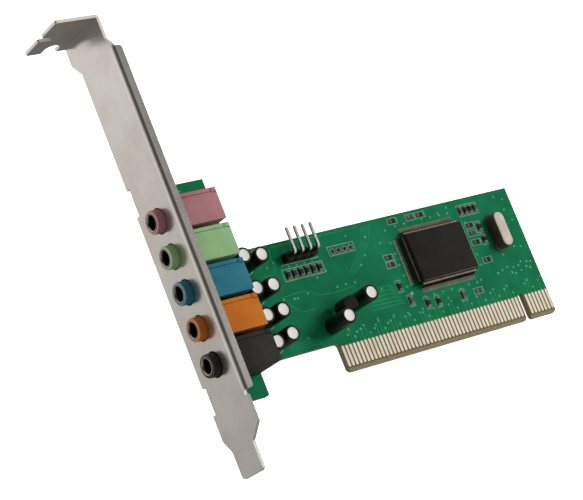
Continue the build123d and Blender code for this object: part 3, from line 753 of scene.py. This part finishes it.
# Radius and height from the board
CAN_OUTLINE = [
    (0.0, 0.0), (1.5, 0.0), (1.95, 0.02), (2.1, 0.12), (2.17, 0.3), (2.18, 0.85), (2.1, 1.05), (2.08, 1.2),
    (2.1, 1.35), (2.18, 1.55), (2.2, 1.8), (2.2, 8.3), (2.16, 8.6), (2.05, 8.83), (1.89, 8.96), (1.72, 9.0),
    (1.6, 8.98), (1.55, 8.9), (1.55, 8.72), (1.4, 8.7), (0.0, 8.7),
]
CAN_TOP_OUTLINE = [
    (0.0, 8.74), (1.25, 8.76), (1.42, 8.8), (1.5, 8.86), (1.53, 8.86), (1.53, 8.7), (0.0, 8.7),
]


def make_capacitors():
    """Cans in shrink sleeve: a crimp near the foot, a rounded shoulder and a dished pale top."""
    sleeve = turned(CAN_OUTLINE)
    top = turned(CAN_TOP_OUTLINE)
    for number, (x, y) in enumerate(CAP_PLACES, start=1):
        piece = bmesh.new()
        put(piece, sleeve, (x, y, FRONT), None, 0)
        put(piece, top, (x, y, FRONT), None, 1)
        node = f"capacitor_{number:02d}"
        settle(f"electrolytic_can_{number:02d}", piece, [SLEEVE, CAN_TOP], [node])


def make_header():
    """A breakaway header: four eased cells and four square pins bent over the board's top edge."""
    half = HEADER_PITCH / 2 - 0.005
    cell = block((-half, -1.25, 0), (half, 1.25, HEADER_H))
    standing = [e for e in cell.edges if abs(e.verts[0].co.z - e.verts[1].co.z) > 1]
    ease_edges(cell, standing, 0.5, 1)
    upper = [e for e in cell.edges if e.verts[0].co.z > 2 and e.verts[1].co.z > 2]
    ease_edges(cell, upper, 0.12, 2)
    base = bmesh.new()
    pins = bmesh.new()
    point = 0.4
    straight = PIN_REACH - PIN_BEND - point
    pin, tip = bent_bar(PIN_W, PIN_W, [(PIN_LEVEL - PIN_BEND,), (90, PIN_BEND, 6), (straight,), (point,)])
    for face in pin.faces:
        # Upright legs and the faces turned along X take the darker tin as painted shade
        upright = face.calc_center_median().z < PIN_LEVEL - 0.6
        face.material_index = 1 if upright or abs(face.normal.x) > 0.9 else 0
    middle = tip.calc_center_median()
    bmesh.ops.scale(pin, vec=(0.5, 1, 0.5), space=Matrix.Translation(-middle), verts=tip.verts[:])
    for x in HEADER_XS:
        put(base, cell, (x, HEADER_Y, FRONT))
        put(pins, pin, (x, HEADER_Y, FRONT))
    settle("header_cells", base, [HEADER_PLASTIC], ["header_base"])
    settle("header_bent_pins", pins, [TIN, PIN_PAINTED_SHADE], ["header_pins"])


def make_controller():
    """The moulded flat pack: two drafted halves with an index dimple, and gull-wing leads on four sides."""
    middle = FRONT + CHIP_STANDOFF + CHIP_T / 2
    body = block((-CHIP_L / 2, -CHIP_W / 2, -CHIP_T / 2), (CHIP_L / 2, CHIP_W / 2, CHIP_T / 2))
    bmesh.ops.bisect_plane(body, geom=whole(body), plane_co=(0, 0, 0), plane_no=(0, 0, 1))
    draft = 0.19
    for v in body.verts:
        if abs(v.co.z) > 0.1:
            v.co.x -= math.copysign(draft, v.co.x)
            v.co.y -= math.copysign(draft, v.co.y)
    ease_edges(body, body.edges[:], 0.12, 2)
    top = max((f for f in body.faces if f.normal.z > 0.99), key=lambda f: f.calc_area())
    dimple = Vector((-CHIP_L / 2 + 1.9, -CHIP_W / 2 + 1.9, CHIP_T / 2))
    ring = open_face(body, top, dimple, 0.75, Matrix.Identity(4), 24)
    ring = sink(body, ring, (0, 0, -0.07), 0.88, dimple)
    bmesh.ops.edgeloop_fill(body, edges=ring)
    face_out(body)
    # Upper bevels not facing left take the paler plastic as a painted highlight, and those facing right the
    # near-white one as a painted glint
    for face in body.faces:
        face.material_index = 0
        eased = 0.3 < face.normal.z < 0.95 and face.normal.x > -0.3
        if eased and face.calc_area() > 0.2:
            face.material_index = 2 if face.normal.x > 0.3 else 1
    piece = bmesh.new()
    put(piece, body, (CHIP_X, CHIP_Y, middle))
    finishes = [CHIP_PLASTIC, CHIP_EDGE_HIGHLIGHT, CHIP_EDGE_GLINT]
    settle("controller_body", piece, finishes, ["controller_chip"])

    lead, _ = bent_bar(LEAD_W, LEAD_T, [(0.5,), (-75, 0.2, 3), (1.324,), (75, 0.2, 3), (0.62,)])
    # Shoulders keep the bright tin; the slopes take a dark copy and the rest of each lead a dim copy:
    # painted shade on one tin
    for face in lead.faces:
        along = face.calc_center_median().z
        sloped = abs(face.normal.y) < 0.9 and 0.55 < along < 1.2
        face.material_index = 1 if sloped else (2 if along > 0.9 else 0)
    outwards = Matrix(((0, 0, 1, 0), (1, 0, 0, 0), (0, 1, 0, 0), (0, 0, 0, 1)))
    pad = block((-0.13, -0.75, 0), (0.13, 0.75, 0.03))
    leads = bmesh.new()
    pads = bmesh.new()
    for turn, reach, count in CHIP_SIDES:
        for i in range(count):
            shift = (i - (count - 1) / 2) * LEAD_PITCH
            spot = turned_by(turn) @ Vector((reach - 0.15, shift, 0))
            put(leads, lead, (CHIP_X + spot.x, CHIP_Y + spot.y, middle), turned_by(turn) @ outwards)
            foot = turned_by(turn) @ Vector((reach + 1.45, shift, 0))
            # Lands along the chip's two long sides take the dim tin as painted shade; the others take the
            # bright tin as a painted glint
            dull = 1 if turn in (90, 270) else 0
            put(pads, pad, (CHIP_X + foot.x, CHIP_Y + foot.y, FRONT), turned_by(turn + 90), dull)
    finishes = [LEAD_TIN, LEAD_SLOPE_PAINTED_SHADE, LEAD_PAINTED_SHADE]
    settle("controller_gull_leads", leads, finishes, ["controller_leads"])
    settle("controller_lands", pads, [LAND_GLINT_TIN, LEAD_PAINTED_SHADE])


def make_crystal():
    """A low crystal: a drawn can with a rounded top on its flanged base."""
    base = bmesh.new()
    put(base, stadium(CRYSTAL_HALF_SPAN, FLANGE_R, FLANGE_H, 0.12, 2), (CRYSTAL_X, CRYSTAL_Y, FRONT))
    settle("crystal_flange", base, [CAN_FLANGE_REFLECTION], ["crystal_base"])
    drawn = stadium(CRYSTAL_HALF_SPAN, CRYSTAL_R, CRYSTAL_H, 0.5, 4)
    # The can's sides take the dark wall finish as painted shade; the top keeps the can's metal
    for face in drawn.faces:
        face.material_index = 0 if face.normal.z > 0.8 else 1
    can = bmesh.new()
    put(can, drawn, (CRYSTAL_X, CRYSTAL_Y, FRONT + FLANGE_H))
    settle("crystal_drawn_can", can, [CAN_METAL, CAN_WALL_PAINTED_SHADE], ["crystal_can"])


def make_regulator():
    """A round-backed moulding on three leads, with its flat towards the connector."""
    body = bmesh.new()
    bmesh.ops.create_circle(body, cap_ends=True, radius=REGULATOR_R, segments=40)
    bmesh.ops.bisect_plane(
        body, geom=whole(body), plane_co=(0, REGULATOR_FLAT, 0), plane_no=(0, -1, 0), clear_outer=True,
    )
    raise_face(body, REGULATOR_H, 0.15)
    piece = bmesh.new()
    put(piece, body, (REGULATOR_X, REGULATOR_Y, FRONT + REGULATOR_LEG_H))
    settle("regulator_moulding", piece, [REGULATOR_PLASTIC], ["regulator"])
    legs = bmesh.new()
    half = 0.22
    leg = block((-half, -half, 0), (half, half, REGULATOR_LEG_H + 0.1), 0.05)
    for x in REGULATOR_XS:
        put(legs, leg, (x, REGULATOR_Y, FRONT))
    settle("regulator_legs", legs, [TIN], ["regulator_leads"])


def make_small_parts():
    """Chip resistors and capacitors: a body, wrapped ends and a solder fillet against each end."""
    body = block((-0.72, -0.52, 0.03), (0.72, 0.52, 0.57), 0.05)
    wrap = block((0.66, -0.55, 0.0), (1.0, 0.55, 0.6), 0.06)
    fillet = bmesh.new()
    outline = ((0.98, 0), (1.4, 0), (1.12, 0.16), (0.98, 0.5))
    fillet.faces.new([fillet.verts.new((x, -0.55, z)) for x, z in outline])
    draw_out(fillet, fillet.faces[:], (0, 1.1, 0))
    face_out(fillet)
    bodies = bmesh.new()
    ends = bmesh.new()
    places = [(x, y, 90) for x, y in ROW_PARTS + UPRIGHT_PARTS] + [(x, y, 0) for x, y in LEVEL_PARTS]
    for i, (x, y, turn) in enumerate(places):
        put(bodies, body, (x, y, FRONT), turned_by(turn), 0 if i < 6 or i % 3 else 1)
        for end in (0, 180):
            put(ends, wrap, (x, y, FRONT), turned_by(turn + end))
            put(ends, fillet, (x, y, FRONT), turned_by(turn + end))
    settle("small_part_bodies", bodies, [RESISTOR_BLACK, CAPACITOR_TAN], ["chip_parts"])
    settle("small_part_ends", ends, [PART_END], ["chip_part_solder"])


# Drop and radius of each ring of a screw, from the edge of its crown to the end of its shank
SCREW_CROWN = 1.9
SCREW_RINGS = [(0.2, 2.25), (0.3, 2.45), (0.3, 2.5), (0.88, 2.5), (0.0, 1.45), (2.43, 1.45)]


def make_screws():
    """Pan-head screws with a cross recess, through the board and the bracket's ears."""
    shape = bmesh.new()
    bmesh.ops.create_grid(shape, x_segments=3, y_segments=3, size=1.3)
    for v in shape.verts:
        for axis in (0, 1):
            if abs(v.co[axis]) < 1:
                v.co[axis] *= 0.6
    middles = {f: f.calc_center_median() for f in shape.faces}
    cross = [f for f in shape.faces if min(abs(middles[f].x), abs(middles[f].y)) < 0.1]
    border = [e for e in shape.edges if e.is_boundary]
    centre = Vector((0, 0, -0.12))
    ring = bmesh.ops.create_circle(
        shape, cap_ends=False, radius=SCREW_CROWN, segments=36, matrix=Matrix.Translation(centre),
    )["verts"]
    rim = list({e for v in ring for e in v.link_edges})
    bmesh.ops.bridge_loops(shape, edges=border + rim)
    last = SCREW_CROWN
    for drop, radius in SCREW_RINGS:
        rim = sink(shape, rim, (0, 0, -drop), 1.0, centre)
        centre = centre + Vector((0, 0, -drop))
        ring = list({v for e in rim for v in e.verts})
        bmesh.ops.scale(shape, vec=(radius / last, radius / last, 1), verts=ring)
        last = radius
    bmesh.ops.edgeloop_fill(shape, edges=rim)
    face_out(shape)
    bottom = corners_in(draw_out(shape, cross, (0, 0, -0.9)))
    bmesh.ops.scale(shape, vec=(0.7, 0.7, 1), verts=bottom)
    bmesh.ops.delete(shape, geom=cross, context="FACES")
    piece = bmesh.new()
    for x, y in SCREW_PLACES:
        put(piece, shape, (x, y, FRONT + 1.8))
    settle("bracket_pan_screws", piece, [SCREW_ZINC], ["bracket_screws"])


def soldered_legs():
    """Every leg that comes through the board, with the width of its solder cone."""
    places = []
    for y in JACK_YS:
        places.append((SLEEVE_LEG_X, y))
        for x, side in zip(SPRING_LEG_XS, (1, -1)):
            places.append((x, y + side * SPRING_LEG_ASIDE))
    places += [(x + aside, y) for x, y in CAP_PLACES for aside in (-CAP_LEG_ASIDE, CAP_LEG_ASIDE)]
    places += [(x, HEADER_Y) for x in HEADER_XS]
    places += [(CRYSTAL_X, CRYSTAL_Y + end * CRYSTAL_HALF_SPAN) for end in (-1, 1)]
    legs = [(x, y, 1.0) for x, y in places]
    return legs + [(x, REGULATOR_Y, 0.58) for x in REGULATOR_XS]


CONE_OUTLINE = [
    (0.0, 1.1), (0.2, 1.1), (0.24, 1.06), (0.26, 0.9), (0.34, 0.62), (0.5, 0.34), (0.72, 0.15),
    (0.98, 0.03), (1.0, 0.0), (0.0, 0.0),
]


def make_solder_joints():
    """Concave cones of solder on the back, each round the clipped end of its leg."""
    cone = turned(CONE_OUTLINE, 14)
    piece = bmesh.new()
    for x, y, width in soldered_legs():
        put(piece, cone, (x, y, BACK), UPSIDE_DOWN @ Matrix.Diagonal((width, width, 1.0, 1.0)))
    settle("back_solder_cones", piece, [SOLDER], ["solder_joints"])


# Copper and ink on the board

def copper_run(piece, points, width, level, lift):
    """A flat run of copper along a row of points."""
    strip = bmesh.new()
    path = [Vector((x, y, level)) for x, y in points]
    ways = [(b - a).normalized() for a, b in zip(path, path[1:])]
    corners = None
    for i, spot in enumerate(path):
        into, out = ways[max(i - 1, 0)], ways[min(i, len(ways) - 1)]
        ahead = (into + out).normalized()
        across = Vector((-ahead.y, ahead.x, 0))
        half = across * (width / 2 / across.dot(Vector((-out.y, out.x, 0))))
        if corners is None:
            corners = [strip.verts.new(spot + half), strip.verts.new(spot - half)]
            edge = strip.edges.new(corners)
            continue
        grown = bmesh.ops.extrude_edge_only(strip, edges=[edge])["geom"]
        corners = sorted(corners_in(grown), key=lambda v: (v.co - corners[0].co).length)
        edge = next(g for g in grown if isinstance(g, bmesh.types.BMEdge) and set(g.verts) == set(corners))
        corners[0].co = spot + half
        corners[1].co = spot - half
    draw_out(strip, strip.faces[:], (0, 0, lift))
    face_out(strip)
    put(piece, strip)
    strip.free()


def contact_xs():
    """Where the contacts lie along the board, the long row first."""
    long_row = [LONG_ROW_START + CONTACT_PITCH * i for i in range(LONG_ROW_COUNT)]
    return long_row + [SHORT_ROW_START + CONTACT_PITCH * i for i in range(SHORT_ROW_COUNT)]


def front_runs():
    """Runs on the component side: stubs from the contacts, fans from the chip and long bent runs."""
    runs = []
    vias = []
    for i, x in enumerate(contact_xs()):
        if i % 4 == 1 or x < -60:
            continue
        top = 8.5 + 0.75 * (i * 5 % 4)
        runs.append(([(x, CONTACT_TOP), (x, top)], 0.3))
        vias.append((x, top))
    for turn, reach, count in CHIP_SIDES:
        for i in range(1, count, 3):
            shift = (i - (count - 1) / 2) * LEAD_PITCH
            out = 2.6 + 0.7 * (i % 2) + 0.5 * (i % 5 == 0)
            ends = [(reach + 1.9, shift, 0), (reach + out, shift * 1.04, 0)]
            ends = [turned_by(turn) @ Vector(end) for end in ends]
            points = [(CHIP_X + end.x, CHIP_Y + end.y) for end in ends]
            runs.append((points, 0.18))
            if i % 2:
                vias.append(points[1])
    for i, y in enumerate((19.2, 18.1, 17.0, 15.9, 14.8, 13.8)):
        runs.append(([(-47.5 - 0.4 * i, y), (-41.6, y), (-40.0 + 0.3 * i, y - 1.2 + 0.2 * i)], 0.35))
    slant = [(-52.4, 24.4), (-50.6, 26.2), (-44.6, 32.2), (-42.5, 36.4)]
    for i in range(4):
        runs.append(([(x + 0.9 * i, y) for x, y in slant], 0.25))
    for points in (
        [(-75.0, 22.9), (-71.4, 23.4), (-66.4, 23.2), (-63.6, 21.4), (-58.0, 21.0), (-52.0, 21.4)],
        [(-78.6, 20.6), (-73.2, 20.6), (-70.8, 18.2), (-66.0, 18.2)],
        [(-78.6, 29.4), (-75.0, 29.4), (-73.6, 30.8), (-73.6, 35.6), (-72.4, 36.6), (-44.0, 36.6)],
    ):
        runs.append((points, 0.3))
    for i in range(3):
        runs.append(([(-78.4, 10.6 - 0.7 * i), (-70.0, 10.6 - 0.7 * i), (-68.0, 9.4 - 0.35 * i)], 0.25))
    return runs, vias


LOOSE_VIAS = [
    (-73.4, 32.6), (-75.9, 31.6), (-47.3, 26.3), (-57.2, 22.3), (-54.3, 22.4), (-51.3, 22.3), (-74.6, 22.6),
    (-71.9, 11.3), (-59.9, 9.4), (-56.7, 9.6), (-71.4, 22.1), (-70.4, 22.0), (-44.0, 18.7), (0.1, 19.3),
    (5.0, 20.9), (7.2, 20.4), (-10.9, 14.2), (-24.0, 11.7), (-0.3, 15.7), (1.8, 15.2), (3.7, 15.4),
    (0.7, 13.9), (1.9, 13.4), (4.1, 13.8), (7.1, 15.9), (8.4, 15.6), (6.3, 14.5), (7.6, 14.0),
    (5.0, 16.3), (-2.4, 15.2), (-4.2, 14.7), (-66.8, 22.6), (-62.2, 26.0), (-58.8, 27.2), (-48.6, 34.9),
    (-44.8, 28.6), (-42.6, 33.4), (-38.6, 30.8), (-76.8, 14.8), (-76.4, 21.8), (-77.0, 29.0), (-92.4, 56.2),
    (-88.0, 42.6), (-87.2, 47.4), (-86.6, 52.0), (6.8, 31.6), (7.6, 34.6), (4.9, 35.8), (8.2, 28.2),
    (-12.6, 36.0), (-16.2, 35.0), (-35.4, 33.8), (-48.8, 11.4), (-46.2, 9.6), (-50.9, 9.2), (-43.4, 11.2),
    (-38.4, 10.2), (-34.0, 9.8),
]


def back_runs():
    """Runs on the solder side: contact stubs, a wide bus and runs between the soldered legs."""
    runs = []
    vias = []
    for i, x in enumerate(contact_xs()):
        if i % 3 == 2:
            continue
        top = 9.0 + 0.8 * (i % 5)
        runs.append(([(x, CONTACT_TOP), (x, top)], 0.3))
        vias.append((x, top))
    for i in range(12):
        x = -48.0 + CONTACT_PITCH * i
        knee = 17.5 - 0.55 * i
        end = (-11.0 + 0.7 * i, knee + 12.0)
        points = [(x, 13.0), (x, knee + 5), (x + 4.0, knee + 9.0), (-14.0 + 0.7 * i, knee + 9.0), end]
        runs.append((points, 0.25))
        vias.append(end)
    for i, jack_y in enumerate(JACK_YS):
        level = 12.0 + 6.2 * i
        end = (-55.0 + 1.2 * i, 16.0 + 3.4 * i)
        runs.append(([(-88.4, level), (-79.0, level), (-75.0, end[1]), end], 0.45))
        vias.append(end)
        level = jack_y - SPRING_LEG_ASIDE
        leg = (SPRING_LEG_XS[1], level)
        runs.append(([leg, (-93.0, level), (-91.4, jack_y - 0.5), (-89.2, jack_y - 0.5)], 0.45))
    for i, x in enumerate(HEADER_XS):
        level = 36.9 - 0.5 * i
        runs.append(([(x, HEADER_Y), (x, 36.2 - 0.5 * i), (x - 1.0, level), (-80.0, level)], 0.3))
    for i, (x, y) in enumerate(SPARE_HOLES):
        level = 28.6 - 0.6 * i
        runs.append(([(x, y), (x, level), (-39.0, level), (-37.4, 30.2 - 0.6 * i)], 0.3))
    return runs, vias


def make_copper():
    """Masked copper runs, tented vias and bare tinned lands on both faces of the board."""
    via = turned([(0.0, 0.008), (0.1, 0.01), (0.14, 0.03), (0.26, 0.03), (0.31, 0.0), (0.0, 0.0)], 10)
    land = turned([(0.5, 0.0), (0.5, 0.035), (0.85, 0.035), (0.9, 0.0)], 24, True)
    screw_land = turned([(1.72, 0.0), (1.72, 0.035), (3.3, 0.035), (3.35, 0.0)], 48, True)
    leg_land = turned([(0.0, 0.03), (1.2, 0.03), (1.25, 0.0), (0.0, 0.0)], 20)
    for side, level, (runs, vias) in (("front", FRONT, front_runs()), ("back", BACK, back_runs())):
        face = None if side == "front" else UPSIDE_DOWN
        lift = COPPER_H if side == "front" else -COPPER_H
        traces = bmesh.new()
        for points, width in runs:
            copper_run(traces, points, width, level, lift)
        settle(side + "_copper_runs", traces, [TRACE_MASK])
        dots = bmesh.new()
        for x, y in vias + LOOSE_VIAS:
            put(dots, via, (x, y, level), face)
        settle(side + "_vias", dots, [VIA_MASK])
        lands = bmesh.new()
        for x, y in SPARE_HOLES:
            put(lands, land, (x, y, level), face)
        for x, y in SCREW_PLACES:
            put(lands, screw_land, (x, y, level), face)
        if side == "back":
            for x, y, _ in soldered_legs():
                put(lands, leg_land, (x, y, level), face)
        settle(side + "_lands", lands, [SOLDER])


def ink_box(piece, x0, y0, x1, y1, width=0.16):
    """A printed outline, as four thin bars."""
    half = width / 2
    for low, high in (
        ((x0 - half, y0 - half), (x1 + half, y0 + half)),
        ((x0 - half, y1 - half), (x1 + half, y1 + half)),
        ((x0 - half, y0 + half), (x0 + half, y1 - half)),
        ((x1 - half, y0 + half), (x1 + half, y1 - half)),
    ):
        put(piece, block((*low, FRONT), (*high, INK_TOP)))


def make_ink():
    """Printed outlines round the parts, polarity marks by the cans, and an index dot by the chip."""
    piece = bmesh.new()
    ink_box(piece, -71.9, 26.9, -58.9, 30.05)
    for x, _ in ROW_PARTS[:-1]:
        put(piece, block((x + 0.96, 27.0, FRONT), (x + 1.08, 29.95, INK_TOP)))
    put(piece, block((-71.4, 31.15, FRONT), (-59.4, 31.35, INK_TOP)))
    ink_box(piece, -55.7, 30.6, -47.1, 33.1)
    for x, y in UPRIGHT_PARTS:
        ink_box(piece, x - 0.85, y - 1.65, x + 0.85, y + 1.65, 0.13)
    for x, y in LEVEL_PARTS:
        ink_box(piece, x - 1.65, y - 0.85, x + 1.65, y + 0.85, 0.13)
    ring = turned([(2.38, 0.0), (2.38, INK_H), (2.54, INK_H), (2.54, 0.0)], 40, True)
    for x, y in CAP_PLACES[:8]:
        put(piece, ring, (x, y, FRONT))
        put(piece, block((x - 3.5, y - 0.08, FRONT), (x - 2.8, y + 0.08, INK_TOP)))
        put(piece, block((x - 3.23, y - 0.35, FRONT), (x - 3.07, y + 0.35, INK_TOP)))
    dot = turned([(0.0, INK_H), (0.45, INK_H), (0.45, 0.0), (0.0, 0.0)], 20)
    put(piece, dot, (CHIP_X - 13.0, CHIP_Y - 8.6, FRONT))
    for x in HEADER_XS:
        put(piece, dot, (x, 30.6, FRONT), Matrix.Scale(0.4, 4))
    settle("printed_outlines", piece, [SILK])


# Studio

def make_surround():
    """The studio walls: pale all round, brighter or darker where the card's metal mirrors them."""
    world = bpy.data.worlds.new("studio_surround")
    world.use_nodes = True
    tree = world.node_tree
    way = tree.nodes.new("ShaderNodeTexCoord")
    light = 0.60
    for towards, low, high, change in (
        ((-0.40, 0.75, -0.53), 0.66, 0.90, 0.54),
        ((-0.92, 0.19, -0.33), 0.90, 0.98, 0.30),
        ((-0.50, -0.35, -0.79), 0.75, 0.95, -0.30),
        ((-0.52, 0.10, 0.85), 0.70, 0.90, -0.58),
        ((0.45, 0.50, 0.74), 0.90, 0.98, -0.38),
        ((0.60, -0.30, -0.74), 0.30, 0.90, -0.42),
    ):
        facing = add(tree, "VectorMath", operation="DOT_PRODUCT")
        tree.links.new(way.outputs["Generated"], facing.inputs[0])
        facing.inputs[1].default_value = towards
        light = sums(tree, "ADD", span(tree, facing.outputs["Value"], low, high, 0.0, change), light)
    backdrop = tree.nodes["Background"]
    backdrop.inputs["Color"].default_value = (1.0, 0.985, 0.965, 1.0)
    tree.links.new(sums(tree, "MAXIMUM", light, 0.04), backdrop.inputs["Strength"])
    bpy.context.scene.world = world


def make_studio():
    """A pale floor under the card, a soft light, and the camera where the card is seen from."""
    shape = bmesh.new()
    bmesh.ops.create_grid(shape, x_segments=1, y_segments=1, size=3.0)
    bmesh.ops.translate(shape, vec=(-0.05, 0.03, CAD_LOW.z - 0.0002), verts=shape.verts)
    mesh = bpy.data.meshes.new("floor")
    shape.to_mesh(mesh)
    shape.free()
    finish, tree, skin, _, ruler = start_finish("floor_paper")
    look = use_effect(tree, HANDLING, ruler, Cloud=0.004, Grain=0.8)
    paper = mix(tree, look["Tone"], srgb(250, 250, 249), srgb(254, 254, 254))
    roughness = span(tree, look["Grain"], 0.3, 0.7, 0.85, 0.95)
    glow = {"Emission_Color": (1.0, 1.0, 1.0, 1.0), "Emission_Strength": 1.0}
    feed(tree, skin, paper, roughness, look["Grain"], 0.02, 0.0001, **glow)
    mesh.materials.append(finish)
    floor = bpy.data.objects.new("floor", mesh)
    bpy.context.scene.collection.objects.link(floor)
    floor.visible_diffuse = False
    floor.visible_glossy = False
    make_surround()

    lamp = bpy.data.lights.new("key_softbox", "AREA")
    lamp.shape = "DISK"
    lamp.size = 0.35
    lamp.energy = 4.2
    held = bpy.data.objects.new("key_softbox", lamp)
    aim = Vector((-0.05, 0.03, 0.005))
    place = Vector((0.42, 0.10, 0.58))
    held.location = place
    held.rotation_mode = "QUATERNION"
    held.rotation_quaternion = (aim - place).to_track_quat("-Z", "Y")
    held.visible_glossy = False
    bpy.context.scene.collection.objects.link(held)

    lens = bpy.data.cameras.new("camera")
    lens.lens = 128.35
    lens.sensor_width = 36.0
    lens.sensor_fit = "HORIZONTAL"
    lens.clip_start = 0.01
    lens.clip_end = 20.0
    camera = bpy.data.objects.new("camera", lens)
    right = Vector((0.78804, -0.36247, 0.49760))
    up = Vector((0.19159, 0.91255, 0.36132))
    back = Vector((-0.58505, -0.18940, 0.78857))
    stand = Matrix.Translation((-0.37925, -0.06653, 0.42223))
    camera.matrix_world = stand @ Matrix((right, up, back)).transposed().to_4x4()
    bpy.context.scene.collection.objects.link(camera)
    bpy.context.scene.camera = camera
    bpy.context.scene.view_settings.view_transform = "Standard"


dress("circuit_board", BOARD_MASK)
dress("bracket", ZINC)
dress("edge_contacts_front", GOLD)
dress("edge_contacts_back", GOLD)
for colour, y in zip(JACK_COLOURS, JACK_YS):
    dress(colour + "_jack_springs", BRONZE)
    make_jack(colour, y)
make_capacitors()
make_header()
make_controller()
make_crystal()
make_regulator()
make_small_parts()
make_screws()
make_solder_joints()
make_copper()
make_ink()
make_studio()
